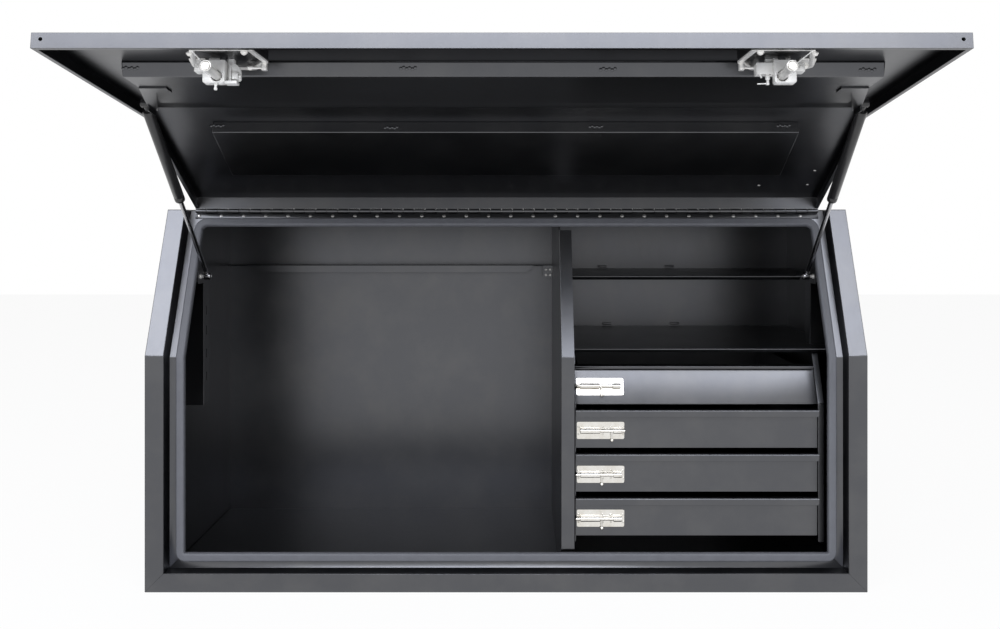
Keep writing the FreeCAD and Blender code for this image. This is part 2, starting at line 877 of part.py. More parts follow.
def strut_tube():
    socket = stub_x(socket_radius, -socket_half, socket_half, 0, 0)
    neck = stub_z(neck_radius, neck_start, tube_start + through, 0, 0)
    barrel = flat_sided(tube_radius, vector(0, 0, tube_start), vector(0, 0, tube_end), tube_flats)
    shape = joined([socket, neck, barrel])
    pocket = ball_radius + ball_clearance
    shape = shape.cut(stub_x(around(pocket), -pocket, pocket, 0, 0))
    shape = shape.cut(stub_x(around(shank_radius + shank_clearance), -socket_half - through, 0,
                             0, 0))
    shape = shape.cut(stub_z(around(tube_bore), bore_start, gland_start, 0, 0))
    shape = shape.cut(stub_z(around(rod_radius + rod_clearance), bore_start, tube_end + through,
                             0, 0))
    return along_strut(shape)


def strut_rod():
    length = strut_length()
    end = stub_x(rod_end_radius, -rod_end_half, rod_end_half, 0, length)
    neck = stub_z(neck_radius, length - neck_start - neck_radius, length - neck_start, 0, 0)
    bar = stub_z(rod_radius, rod_tail, length - neck_start, 0, 0)
    piston = stub_z(piston_radius, rod_tail, rod_tail + piston_length, 0, 0)
    return along_strut(joined([end, neck, bar, piston]))


# Latches, right-hand one

def latch_dish():
    pan = latch_cutout(0, dish_depth)
    bezel = latch_cutout(-dish_bezel, 0, bezel_overlap)
    hollow = latch_cutout(-dish_bezel - through, dish_depth - dish_wall, -dish_wall)
    hole = stub_y(around(spindle_radius + spindle_clearance), 0, dish_depth + through, latch_x,
                  latch_z)
    return joined([pan, bezel]).cut(hollow).cut(hole)


def latch_frame():
    """Bright rim with a web at its outer rear corner and screw bosses, on the back of the dish."""
    back = dish_depth + frame_thickness
    plate = latch_cutout(dish_depth, back)
    inner = latch_cutout(dish_depth - through, back + through, -frame_width)
    web = block(latch_x + web_inset, half_width, dish_depth - through, back + through,
                latch_z + web_low, box_height)
    rim = plate.cut(inner.cut(web))
    bosses = [stub_y(boss_radius, dish_depth, back + boss_height, latch_x + x, latch_z + z)
              for x, z in boss_places]
    return joined([rim] + bosses)


def case_middle(side):
    """Middle of a latch's case, which sits further out on the left-hand latch."""
    return latch_x + case_shift[side]


def latch_case(side):
    """Cast case on the back of the dish, bored for the spring bolt and the handle's spindle."""
    middle = case_middle(side)
    shape = block(middle - case_half_width, middle + case_half_width, dish_depth, case_top,
                  case_low, case_high)
    top_edges = [edge for edge in shape.Edges
                 if all(abs(vertex.Point.y - case_top) < through for vertex in edge.Vertexes)]
    shape = shape.makeChamfer(case_corner, top_edges)
    side_parts = barrel_parts(middle) if side == "right" else cam_parts(middle)
    shape = joined([shape] + side_parts)
    shape = shape.cut(stub_z(slam_radius + slam_clearance, case_low - box_depth,
                             case_high + through, middle - bolt_inset, slam_v))
    return shape.cut(stub_y(around(spindle_radius + spindle_clearance), dish_depth - through,
                            spindle_end + through, latch_x, latch_z))


def cam_parts(middle):
    """Rounded cam plate with its foot and yoke beside the left-hand case, and its lever."""
    right = middle - case_half_width
    left = right - cam_width
    plate = rounded_prism([(left, 0, cam_arch - dish_wall), (right, 0, 0),
                           (right, case_top - cam_low, 0),
                           (left, case_top - cam_low, cam_arch)], 0, cam_thickness)
    plate.rotate(vector(0, 0, 0), vector(1, 0, 0), -quarter_turn)
    plate.translate(vector(0, cam_low, latch_z))
    yoke = block(left + yoke_wall, right, dish_depth, cam_low + yoke_wall, latch_z - yoke_depth,
                 latch_z + yoke_depth)
    foot = block(right - cam_foot_width, right, case_top - cam_foot_height, case_top,
                 latch_z - cam_foot_depth, latch_z)
    lever = stub_y(lever_radius, case_top - through, case_top + lever_length,
                   middle - lever_inset, case_high - case_half_height / 2)
    return [plate, yoke, foot, lever]


def barrel_parts(middle):
    """Barrel beside the right-hand case, with the pin that its spring hooks on."""
    right = middle - case_half_width
    barrel = stub_x(barrel_radius, right - barrel_length, right, barrel_v, latch_z)
    pin = stub_y(side_pin_radius, dish_depth, side_pin_end, right - barrel_length / 2, latch_z)
    return [barrel, pin]


def latch_handle():
    """Turning handle inside the dish, on a spindle that enters the case."""
    bar = rounded_prism([(latch_x - handle_half_length, latch_z - handle_half_width,
                          handle_half_width - handle_gap),
                         (latch_x + handle_half_length, latch_z - handle_half_width,
                          handle_half_width - handle_gap),
                         (latch_x + handle_half_length, latch_z + handle_half_width,
                          handle_half_width - handle_gap),
                         (latch_x - handle_half_length, latch_z + handle_half_width,
                          handle_half_width - handle_gap)], handle_front, handle_back)
    boss = stub_y(handle_boss_radius, handle_front, dish_depth - dish_wall - handle_gap,
                  latch_x, latch_z)
    spindle = stub_y(spindle_radius, handle_back, spindle_end, latch_x, latch_z)
    bore = stub_y(around(plug_radius + plug_clearance), 0,
                  handle_front + plug_depth + plug_clearance, latch_x, latch_z)
    return joined([bar, boss, spindle]).cut(bore)


def lock_plug():
    """Key plug in the middle of the handle."""
    plug = stub_y(plug_radius, handle_front, handle_front + plug_depth, latch_x, latch_z)
    slot = block(latch_x - key_slot_width / 2, latch_x + key_slot_width / 2,
                 0, handle_front + key_slot_depth,
                 latch_z - key_slot_height / 2, latch_z + key_slot_height / 2)
    return plug.cut(slot)


def latch_bolt(side):
    """Spring bolt with a tapered nose that rides over the front flange as the lid shuts."""
    bar = stub_z(slam_radius, lid_low, slam_tail, case_middle(side) - bolt_inset, slam_v)
    nose = [edge for edge in bar.Edges
            if all(abs(vertex.Point.z - lid_low) < through for vertex in edge.Vertexes)]
    return bar.makeChamfer(slam_taper, nose)


# Drawer unit

def drawer_base(index):
    """Height of a drawer's lower edge, counted from the bottom drawer."""
    return drawer_low + drawer_pitch * index


def leans(index):
    """Only the top drawer's face leans back."""
    return index == drawer_count - 1


def on_face(shape, index):
    """Lean a piece that is drawn on an upright face where that drawer's face leans."""
    return lean_back(shape, face_y, drawer_base(index)) if leans(index) else shape


def unit_front(offset):
    """Front edge of the unit's side plates, parallel to the drawer faces."""
    bend = drawer_base(drawer_count - 1)
    top = lower_shelf_z - sheet
    rise = top - bend
    return [(face_y + offset, unit_low), (face_y + offset, bend - offset * math.tan(slope / 2)),
            (face_y + offset / math.cos(slope) + rise * math.tan(slope), top)]


def drawer_side(x0, x1, offset):
    outline = unit_front(offset) + [(unit_back, lower_shelf_z - sheet), (unit_back, unit_low)]
    return prism_x(outline, x0, x1)


def drawer_side_left():
    return drawer_side(unit_left, unit_left + sheet, sheet + unit_gap)


def drawer_side_right():
    """Right side plate with the narrow flange that fills the front beside the drawers."""
    plate = drawer_side(unit_right, unit_right + sheet, 0)
    flange = prism_x(unit_front(0) + unit_front(sheet)[::-1], unit_right + sheet - unit_flange,
                     unit_right + sheet)
    return joined([plate, flange])


def channel(x_web, x_open, height, middle, y0, y1):
    """Shallow channel rail with its web at one x and its open side at the other."""
    x0, x1 = sorted((x_web, x_open))
    bar = block(x0, x1, y0, y1, middle - height / 2, middle + height / 2)
    inner = sorted((x_web + math.copysign(runner_sheet, x_open - x_web),
                    x_open + math.copysign(through, x_open - x_web)))
    hollow = block(inner[0], inner[1], y0 - through, y1 + through,
                   middle - height / 2 + runner_sheet, middle + height / 2 - runner_sheet)
    return bar.cut(hollow)


def runner_rails():
    """Fixed halves of the runners on both side plates, on spacers at the right."""
    rails = []
    for index in range(drawer_count):
        middle = drawer_base(index) + tray_rise + tray_height / 2
        left = unit_left + sheet
        mount = unit_right - runner_spacer
        rails.append(channel(left, left + fixed_rail_width, fixed_rail_height, middle,
                             runner_front, runner_back))
        spacer = block(mount, unit_right, runner_front, runner_back,
                       middle - spacer_height / 2, middle + spacer_height / 2)
        rails.append(joined([spacer, channel(mount, mount - fixed_rail_width, fixed_rail_height,
                                             middle, runner_front, runner_back)]))
    return Part.makeCompound(rails)


def drawer_tray(index):
    """Open tray with the moving halves of its runners."""
    low = drawer_base(index) + tray_rise
    high = low + tray_height
    lean = math.tan(slope) if leans(index) else 0.0
    cosine = math.cos(slope) if leans(index) else 1.0

    def front(height, inset):
        return face_y + (sheet + inset) / cosine + (height - drawer_base(index)) * lean

    floor = low + tray_sheet
    outer = prism_x([(front(low, 0), low), (front(high, 0), high), (tray_back, high),
                     (tray_back, low)], tray_left, tray_right)
    inner = prism_x([(front(floor, tray_sheet), floor),
                     (front(high + through, tray_sheet), high + through),
                     (tray_back - tray_sheet, high + through), (tray_back - tray_sheet, floor)],
                    tray_left + tray_sheet, tray_right - tray_sheet)
    middle = low + tray_height / 2
    rails = [channel(tray_left, tray_left - moving_rail_width, moving_rail_height, middle,
                     runner_front, tray_back),
             channel(tray_right, tray_right + moving_rail_width, moving_rail_height, middle,
                     runner_front, tray_back)]
    return joined([outer.cut(inner)] + rails)


def drawer_front(index):
    """Face plate with a folded lip along its top as the pull."""
    low = drawer_base(index)
    height = leaning_face_height if leans(index) else face_height
    drop = leaning_lip_drop if leans(index) else face_lip_drop
    top = low + height
    outer = face_y - face_lip_reach
    outline = [(face_y, low), (face_y + sheet, low), (face_y + sheet, top), (outer, top),
               (outer, top - sheet), (face_y, top - sheet)]
    plate = prism_x(outline, face_left, face_right)
    pull = rounded_prism([(face_left, top, 0), (face_right, top, 0),
                          (face_right, top - drop, lip_corner),
                          (face_left, top - drop, lip_corner)], outer, outer + sheet)
    return on_face(joined([plate, pull]), index)


def bolt_plate(index):
    """Plate on the drawer face with the two guides of its barrel bolt."""
    middle = drawer_base(index) + plate_middle
    axis_y = face_y - bolt_axis
    plate = block(plate_left, plate_right, face_y - plate_thickness, face_y,
                  middle - plate_height / 2, middle + plate_height / 2)
    guides = [stub_x(guide_radius, plate_left + start, plate_left + end, axis_y, middle)
              for start, end in (front_guide, rear_guide)]
    bore = stub_x(around(bolt_radius + bolt_clearance), plate_left, plate_right, axis_y, middle)
    slot = block(plate_left + guide_slot_left, plate_left + front_guide[1] + through,
                 axis_y - guide_slot_half, axis_y + guide_slot_half,
                 middle - 2 * guide_radius, middle)
    return on_face(joined([plate] + guides).cut(bore).cut(slot), index)


def barrel_bolt(index):
    """Sliding bolt with its knob on a short stem."""
    middle = drawer_base(index) + plate_middle
    axis_y = face_y - bolt_axis
    knob_x = plate_left + knob_along
    bar = stub_x(bolt_radius, plate_left + bolt_tip, plate_left + bolt_tail, axis_y, middle)
    stem = stub_z(stem_radius, middle - knob_drop, middle, knob_x, axis_y)
    end = knob(knob_radius, vector(knob_x, axis_y, middle - knob_drop))
    shape = joined([bar, stem, end])
    if index == retracted_drawer - 1:
        shape.translate(vector(bolt_retraction, 0, 0))
    return on_face(shape, index)


def save(name, shape):
    """Write one piece with the origin in the middle of the box's underside."""
    placed = shape.copy()
    placed.translate(vector(0, -box_depth / 2, 0))
    placed.exportStep("parts/" + name + ".step")


flange_ring = front_flange()
right_side = side_panel(flange_ring)
save("side_panel_right", right_side)
save("side_panel_left", mirrored(right_side))
save("base_panel", base_panel(flange_ring))
save("roof_panel", roof_panel(flange_ring))
save("back_panel", back_panel())
save("door_seal", door_seal())
save("divider_panel", divider_panel())
save("upper_shelf", upper_shelf())
save("lower_shelf", lower_shelf())
save("back_rail", back_rail())
save("rail_bolts", rail_bolts())
save("strut_post_right", strut_post(lower_shelf_z, ()))
save("strut_post_left", mirrored(strut_post(left_post_low, slot_drops)))
save("body_ball_studs", Part.makeCompound([body_ball_stud(), mirrored(body_ball_stud())]))
save("drawer_side_left", drawer_side_left())
save("drawer_side_right", drawer_side_right())
save("runner_rails", runner_rails())
save("hinge_leaf_body", hinge_leaf_body())
save("hinge_leaf_lid", hinge_leaf_lid())
save("hinge_pin", hinge_pin())
save("hinge_rivets_body", hinge_rivets_body())
save("hinge_rivets_lid", hinge_rivets_lid())
save("lid_panel", lid_panel())
save("lid_stiffener_lower", lid_stiffener_lower())
save("lid_stiffener_upper", lid_stiffener_upper())
save("lid_rivets", lid_rivets())
save("strut_brackets", strut_brackets())
save("lid_ball_studs", lid_ball_studs())
for drawer in range(drawer_count):
    number = str(drawer + 1)
    save("drawer_tray_" + number, drawer_tray(drawer))
    save("drawer_front_" + number, drawer_front(drawer))
    save("bolt_plate_" + number, bolt_plate(drawer))
    save("barrel_bolt_" + number, barrel_bolt(drawer))
for side, turn in (("right", lambda shape: shape), ("left", mirrored)):
    for name, maker in (("latch_case_", latch_case), ("latch_bolt_", latch_bolt)):
        save(name + side, open_lid(turn(maker(side))))
    for name, maker in (("latch_dish_", latch_dish), ("latch_frame_", latch_frame),
                        ("latch_handle_", latch_handle), ("lock_plug_", lock_plug)):
        save(name + side, open_lid(turn(maker())))
    save("strut_tube_" + side, turn(strut_tube()))
    save("strut_rod_" + side, turn(strut_rod()))
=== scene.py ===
"""Looks of a wide side-opening vehicle toolbox with a lift-up lid, an open bay and four drawers."""

import json
import logging
import math
from dataclasses import dataclass
from enum import Enum
from typing import Callable, Dict, List, Optional, Sequence, Tuple, Union

import bmesh
import bpy
from mathutils import Matrix, Vector


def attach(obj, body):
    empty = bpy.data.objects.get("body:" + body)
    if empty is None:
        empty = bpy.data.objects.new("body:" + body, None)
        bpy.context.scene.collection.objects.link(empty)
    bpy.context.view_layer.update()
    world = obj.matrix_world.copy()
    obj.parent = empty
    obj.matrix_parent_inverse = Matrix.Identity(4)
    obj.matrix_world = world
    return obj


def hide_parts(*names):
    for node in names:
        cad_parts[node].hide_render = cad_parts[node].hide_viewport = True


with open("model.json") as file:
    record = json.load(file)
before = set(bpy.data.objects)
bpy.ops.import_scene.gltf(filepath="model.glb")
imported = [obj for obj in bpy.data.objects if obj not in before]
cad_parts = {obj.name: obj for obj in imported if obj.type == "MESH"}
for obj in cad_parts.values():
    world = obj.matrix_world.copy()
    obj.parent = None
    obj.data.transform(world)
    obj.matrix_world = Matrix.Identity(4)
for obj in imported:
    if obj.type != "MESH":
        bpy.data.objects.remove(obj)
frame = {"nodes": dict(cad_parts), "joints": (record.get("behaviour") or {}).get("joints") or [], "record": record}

LOG = logging.getLogger("toolbox")
MM = 0.001
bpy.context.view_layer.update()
Form = bmesh.types.BMesh
Point = Tuple[float, float]
Triple = Tuple[float, float, float]


class Side(Enum):
    """The two ends of the box, with the sign of x there."""

    LEFT = -1
    RIGHT = 1

    @property
    def word(self) -> str:
        """Lower-case word used in node names."""
        return self.name.lower()


class Edge(Enum):
    """How strongly the edges of a sheet piece are rounded, as bend and cut radius in metres."""

    BENT = (0.0030, 0.0004)
    FINE = (0.0009, 0.0003)


class Sock:
    """A shader socket with arithmetic, so that masks can be written as expressions."""

    def __init__(self, shade: "Shade", socket: bpy.types.NodeSocket) -> None:
        """Keep the socket and the shader it belongs to."""
        self.shade = shade
        self.socket = socket

    def _math(self, operation: str, first: "Value", second: "Value") -> "Sock":
        """Add one Math node.

        Args:
            operation: name of the Math node's operation.
            first: left operand.
            second: right operand.

        Returns:
            The node's result.
        """
        return self.shade.node("ShaderNodeMath", {"operation": operation}, {0: first, 1: second})

    def __add__(self, other: "Value") -> "Sock":
        """Sum."""
        return self._math("ADD", self, other)

    __radd__ = __add__

    def __mul__(self, other: "Value") -> "Sock":
        """Product."""
        return self._math("MULTIPLY", self, other)

    __rmul__ = __mul__

    def __sub__(self, other: "Value") -> "Sock":
        """Difference."""
        return self._math("SUBTRACT", self, other)

    def __rsub__(self, other: "Value") -> "Sock":
        """Difference from a number."""
        return self._math("SUBTRACT", other, self)

    def __truediv__(self, other: "Value") -> "Sock":
        """Quotient."""
        return self._math("DIVIDE", self, other)

    def __rtruediv__(self, other: "Value") -> "Sock":
        """Quotient of a number."""
        return self._math("DIVIDE", other, self)

    def __pow__(self, other: "Value") -> "Sock":
        """Power."""
        return self._math("POWER", self, other)

    def above(self, level: "Value") -> "Sock":
        """Mask that is 1 where the value is over a level."""
        return self._math("GREATER_THAN", self, level)


Value = Union[float, Sock, Sequence[float]]


class Shade:
    """One material or world and the nodes that it is built from."""

    def __init__(self, block: Union[bpy.types.Material, bpy.types.World]) -> None:
        """Give a material or a world an empty node tree.

        Args:
            block: the material or world.
        """
        self.block = block
        block.use_nodes = True
        self.tree = block.node_tree
        self.tree.nodes.clear()

    def node(self, kind: str, settings: Dict[str, object], values: Dict[Union[str, int], Value],
             output: Union[str, int] = 0) -> Optional[Sock]:
        """Create a node, set it up and fill its sockets.

        Args:
            kind: type name of the node.
            settings: attributes that are set first.
            values: numbers, colours or links for the input sockets.
            output: name or index of the socket that is returned.

        Returns:
            The chosen output, or nothing from a node that ends the tree.
        """
        made = self.tree.nodes.new(kind)
        for key, setting in settings.items():
            setattr(made, key, setting)
        for key, value in values.items():
            socket = made.inputs[key]
            if isinstance(value, Sock):
                self.tree.links.new(value.socket, socket)
            else:
                socket.default_value = value
        return Sock(self, made.outputs[output]) if made.outputs else None

    def coords(self) -> Sock:
        """Object coordinates in metres."""
        return self.node("ShaderNodeTexCoord", {}, {}, "Object")

    def noise(self, scale: float, detail: float = 2.0, roughness: float = 0.5,
              stretch: Tuple[float, float, float] = (1.0, 1.0, 1.0)) -> Sock:
        """Noise over the surface.

        Args:
            scale: features per metre.
            detail: number of octaves.
            roughness: weight of the finer octaves.
            stretch: scale of each axis.

        Returns:
            The noise factor.
        """
        place = self.node("ShaderNodeMapping", {}, {"Vector": self.coords(), "Scale": stretch})
        values = {"Vector": place, "Scale": scale, "Detail": detail, "Roughness": roughness}
        return self.node("ShaderNodeTexNoise", {}, values, "Fac")

    def tint(self, mask: Value, low: Sequence[float], high: Sequence[float]) -> Sock:
        """Blend two colours by a mask."""
        return self.node("ShaderNodeMix", {"data_type": "RGBA"},
                         {0: mask, 6: (*low, 1.0), 7: (*high, 1.0)}, 2)

    def bump(self, height: Sock, strength: float, distance: float,
             below: Optional[Sock] = None) -> Sock:
        """Turn a height into a normal.

        Args:
            height: the height over the surface.
            strength: share of the effect.
            distance: depth in metres.
            below: normal of a coarser bump underneath.

        Returns:
            The normal.
        """
        values: Dict[Union[str, int], Value] = {"Height": height, "Strength": strength,
                                                "Distance": distance}
        if below is not None:
            values["Normal"] = below
        return self.node("ShaderNodeBump", {}, values)

    def principled(self, values: Dict[Union[str, int], Value]) -> bpy.types.Material:
        """Finish the material with the main shader.

        Args:
            values: numbers, colours or links for the shader's sockets.

        Returns:
            The material.
        """
        shader = self.node("ShaderNodeBsdfPrincipled", {}, values)
        self.node("ShaderNodeOutputMaterial", {}, {"Surface": shader})
        return self.block

    def seen(self) -> Sock:
        """Tell rays that show something from rays that light something.

        Returns:
            A mask that is 1 for camera, mirrored and refracted rays.
        """
        rays = [self.node("ShaderNodeLightPath", {}, {}, ray)
                for ray in ("Is Camera Ray", "Is Glossy Ray", "Is Transmission Ray")]
        return (rays[0] + rays[1] + rays[2]).above(0.5)


class Finish:
    """A surface that can be made into a material."""

    name: str

    def build(self) -> bpy.types.Material:
        """Make the material.

        Returns:
            The material, under the finish's name.
        """
        shade = Shade(bpy.data.materials.new(self.name))
        return shade.principled(self.paint(shade))

    def paint(self, shade: Shade) -> Dict[Union[str, int], Value]:
        """Values of the main shader; each finish has its own."""
        raise NotImplementedError


@dataclass(frozen=True)
class PowderCoat(Finish):
    """Satin black powder coat over bent sheet, with fine texture and faint handling marks."""

    name: str = "powder_coat"
    colour: Triple = (0.108, 0.110, 0.118)
    dusty: Triple = (0.150, 0.150, 0.152)
    dust_scale: float = 9.0
    dust_level: float = 0.42
    dust_gain: float = 1.4
    dust_roughness: float = 0.10
    scuff_scale: float = 60.0
    scuff_stretch: Triple = (1.0, 1.0, 0.25)
    scuff_roughness: float = 0.08
    roughness: float = 0.22
    wave_scale: float = 7.0
    wave_depth: float = 0.0005
    grain_scale: float = 520.0
    grain_depth: float = 0.00006

    def paint(self, shade: Shade) -> Dict[Union[str, int], Value]:
        """Dust and scuffs over a wavy, grainy coat.

        Args:
            shade: the material being built.

        Returns:
            Values of the main shader.
        """
        dust = shade.noise(self.dust_scale, 4.0, 0.6)
        scuff = shade.noise(self.scuff_scale, 6.0, 0.75, self.scuff_stretch)
        settled = dust - self.dust_level
        colour = shade.tint(settled.above(0.0) * settled * self.dust_gain, self.colour, self.dusty)
        rough = self.roughness + dust * self.dust_roughness + scuff * self.scuff_roughness
        waves = shade.bump(shade.noise(self.wave_scale, 1.0), 0.5, self.wave_depth)
        grain = shade.bump(shade.noise(self.grain_scale, 2.0), 0.35, self.grain_depth, waves)
        return {"Base Color": colour, "Roughness": rough, "Metallic": 1.0, "Normal": grain}


@dataclass(frozen=True)
class SealRubber(Finish):
    """Matt foam rubber of the door seal with a chalky bloom."""

    name: str = "seal_rubber"
    colour: Triple = (0.078, 0.080, 0.090)
    chalky: Triple = (0.128, 0.131, 0.143)
    bloom_scale: float = 38.0
    bloom_roughness: float = 0.2
    roughness: float = 0.52
    pore_scale: float = 1400.0
    pore_depth: float = 0.0002

    def paint(self, shade: Shade) -> Dict[Union[str, int], Value]:
        """Bloom over fine pores.

        Args:
            shade: the material being built.

        Returns:
            Values of the main shader.
        """
        bloom = shade.noise(self.bloom_scale, 5.0, 0.7)
        pores = shade.noise(self.pore_scale, 2.0)
        return {"Base Color": shade.tint(bloom, self.colour, self.chalky),
                "Roughness": self.roughness + bloom * self.bloom_roughness,
                "Normal": shade.bump(pores, 0.4, self.pore_depth)}


@dataclass(frozen=True)
class PlatedMetal(Finish):
    """Plated steel or cast zinc with fine marks of its working."""

    name: str
    colour: Triple
    stained: Triple
    roughness: float
    mark_scale: float = 300.0
    mark_depth: float = 0.0001
    metallic: float = 1.0
    mark_roughness: float = 0.12
    stain_scale: float = 45.0
    stain_gain: float = 1.6

    def paint(self, shade: Shade) -> Dict[Union[str, int], Value]:
        """Stains and fine marks.

        Args:
            shade: the material being built.

        Returns:
            Values of the main shader.
        """
        stain = shade.noise(self.stain_scale, 4.0, 0.65)
        marks = shade.noise(self.mark_scale, 3.0, 0.6)
        colour = shade.tint(stain * stain * self.stain_gain, self.colour, self.stained)
        return {"Base Color": colour, "Metallic": self.metallic,
                "Roughness": self.roughness + marks * self.mark_roughness,
                "Normal": shade.bump(marks, 0.35, self.mark_depth)}


@dataclass(frozen=True)
class StrutPaint(Finish):
    """Semi-gloss black paint of the strut tubes."""

    name: str = "strut_paint"
    colour: Triple = (0.010, 0.010, 0.011)
    worn: Triple = (0.022, 0.021, 0.021)
    mark_scale: float = 120.0
    mark_roughness: float = 0.12
    mark_coat: float = 0.4
    roughness: float = 0.24
    peel_scale: float = 700.0
    peel_depth: float = 0.00005

    def paint(self, shade: Shade) -> Dict[Union[str, int], Value]:
        """Worn marks over a slight peel.

        Args:
            shade: the material being built.

        Returns:
            Values of the main shader.
        """
        marks = shade.noise(self.mark_scale, 4.0, 0.7)
        return {"Base Color": shade.tint(marks, self.colour, self.worn),
                "Roughness": self.roughness + marks * self.mark_roughness,
                "Coat Weight": self.mark_coat * marks,
                "Normal": shade.bump(shade.noise(self.peel_scale), 0.3, self.peel_depth)}


class Finishes:
    """All materials by the name of the slot that they fill."""

    def __init__(self) -> None:
        """Build every finish once."""
        recipes = (
            PowderCoat(), SealRubber(), StrutPaint(),
            PlatedMetal("bright_zinc", (0.90, 0.89, 0.86), (0.64, 0.62, 0.58), 0.28, metallic=0.52),
            PlatedMetal("cast_zinc", (0.78, 0.775, 0.755), (0.58, 0.57, 0.54), 0.38, 220.0, 0.0003,
                        metallic=0.30),
            PlatedMetal("runner_steel", (0.46, 0.46, 0.46), (0.30, 0.29, 0.28), 0.34),
            PlatedMetal("rivet_aluminium", (0.62, 0.62, 0.62), (0.42, 0.41, 0.40), 0.33),
            PlatedMetal("strut_chrome", (0.50, 0.50, 0.52), (0.36, 0.36, 0.37), 0.14),
            PlatedMetal("bolt_chrome", (0.86, 0.85, 0.82), (0.66, 0.62, 0.55), 0.12, 160.0,
                        0.00005),
        )
        self.materials = {recipe.name: recipe.build() for recipe in recipes}

    def dress(self, piece: bpy.types.Object, slot: str) -> None:
        """Give a piece the finish of a slot."""
        piece.data.materials.clear()
        piece.data.materials.append(self.materials[slot])


def link(name: str, data: bpy.types.ID) -> bpy.types.Object:
    """Put a mesh, a lamp or a camera into the scene.

    Args:
        name: name of the object.
        data: what it shows.

    Returns:
        The new object.
    """
    made = bpy.data.objects.new(name, data)
    bpy.context.scene.collection.objects.link(made)
    return made


@dataclass(frozen=True)
class Rounding:
    """Limits that tell the bends, cut edges and end faces of a sheet apart, in metres."""

    weld: float = 0.00002
    flat_angle: float = math.radians(0.6)
    edge_angle: float = math.radians(18.0)
    sheet: float = 0.0034
    end_area: float = 0.004
    inner_share: float = 0.4


class Forge:
    """Turns forms into pieces of the toolbox."""

    def __init__(self, finishes: Finishes) -> None:
        """Keep the finishes and read each node's slot and body from the record.

        Args:
            finishes: the materials.
        """
        self.finishes = finishes
        self.rounding = Rounding()
        self.slots = {entry["node"]: entry["material_slot"]
                      for entry in frame["record"]["subparts"]}
        self.bodies = {node: body for body, nodes in
                       frame["record"]["behaviour"]["bodies"].items() for node in nodes}

    def enter(self, form: Form, name: str, node: str, smooth_angle: float = 35.0,
              stands_in: bool = True) -> bpy.types.Object:
        """Make a form into a smooth piece with the body and the finish of a node.

        Args:
            form: the finished form, in place; it is used up.
            name: the piece's name.
            node: the node whose body and finish it takes.
            smooth_angle: edges over this angle stay sharp, in degrees.
            stands_in: the piece replaces the node.

        Returns:
            The new object.
        """
        bmesh.ops.recalc_face_normals(form, faces=form.faces)
        mesh = bpy.data.meshes.new(name)
        form.to_mesh(mesh)
        form.free()
        mesh.shade_smooth()
        mesh.set_sharp_from_angle(angle=math.radians(smooth_angle))
        piece = link(name, mesh)
        body, slot, replaces = self.bodies[node], self.slots[node], [node] if stands_in else []
        self.finishes.dress(piece, slot)
        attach(piece, body)
        if replaces:
            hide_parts(*replaces)
        LOG.info("%s: %d faces on %s", name, len(mesh.polygons), body)
        return piece

    def rounded_node(self, node: str, edge: Edge, reshape: Optional[Callable] = None) -> None:
        """Stand in for a sheet node with a copy whose bends and cut edges are rounded.

        Args:
            node: the node's name.
            edge: how far the edges are rounded.
            reshape: changes the copy before its edges are rounded.
        """
        limits = self.rounding
        bend, cut = edge.value
        form = bmesh.new()
        form.from_mesh(frame["nodes"][node].data)
        bmesh.ops.remove_doubles(form, verts=form.verts, dist=limits.weld)
        bmesh.ops.dissolve_limit(form, angle_limit=limits.flat_angle, verts=form.verts,
                                 edges=form.edges)
        if reshape is not None:
            reshape(form)
        else:
            bmesh.ops.connect_verts_concave(form, faces=[
                face for face in form.faces
                if len(face.verts) > 4 and face.calc_area() < limits.end_area])
        weights = form.edges.layers.float.new("bevel_weight_edge")
        for line in form.edges:
            if len(line.link_faces) != 2 or line.calc_face_angle(0.0) < limits.edge_angle:
                continue
            slim = min(face.calc_area() / max(e.calc_length() for e in face.edges)
                       for face in line.link_faces)
            bent = 1.0 if line.is_convex else limits.inner_share
            line[weights] = bent if slim > limits.sheet else cut / bend
        bevel = self.enter(form, node + "_sheet", node).modifiers.new("rounded edges", "BEVEL")
        bevel.width = bend
        bevel.segments = 2
        bevel.limit_method = "WEIGHT"
        bevel.use_clamp_overlap = True
        bevel.harden_normals = False


def turned(form: Form, profile: Sequence[Point], start: Vector, axis: Vector,
           steps: int = 24, capped: bool = True) -> None:
    """Add a turned piece to a bmesh.

    Args:
        form: the mesh being built.
        profile: pairs of radius and distance along the axis.
        start: where the axis begins.
        axis: direction of the axis.
        steps: facets round the axis.
        capped: close the ends that are off the axis; a loop of a profile needs none.
    """
    turn = Vector((0, 0, 1)).rotation_difference(axis.normalized()).to_matrix()
    rings = []
    for radius, along in profile:
        if radius <= 0.0:
            rings.append([form.verts.new(start + turn @ Vector((0, 0, along)))])
            continue
        rings.append([form.verts.new(start + turn @ Vector((
            radius * math.cos(2 * math.pi * step / steps),
            radius * math.sin(2 * math.pi * step / steps), along))) for step in range(steps)])
    for first, second in zip(rings, rings[1:]):
        for step in range(steps):
            after = (step + 1) % steps
            corners = [first[step % len(first)], first[after % len(first)],
                       second[after % len(second)], second[step % len(second)]]
            unique = list(dict.fromkeys(corners))
            if len(unique) > 2:
                form.faces.new(unique)
    for ring in (rings[0], rings[-1]):
        if len(ring) > 1 and capped:
            form.faces.new(ring)
    if not capped:
        bmesh.ops.remove_doubles(form, verts=rings[0] + rings[-1], dist=1e-7)


def dome(radius: float, height: float, rings: int = 4) -> List[Point]:
    """Profile of a domed head that rises from its rim.

    Args:
        radius: radius of the rim.
        height: height of the dome.
        rings: steps from rim to crown.

    Returns:
        Pairs of radius and height, ending on the axis.
    """
    turns = [0.5 * math.pi * step / rings for step in range(rings)]
    return [(radius * math.cos(turn), height * math.sin(turn)) for turn in turns] + [(0.0, height)]


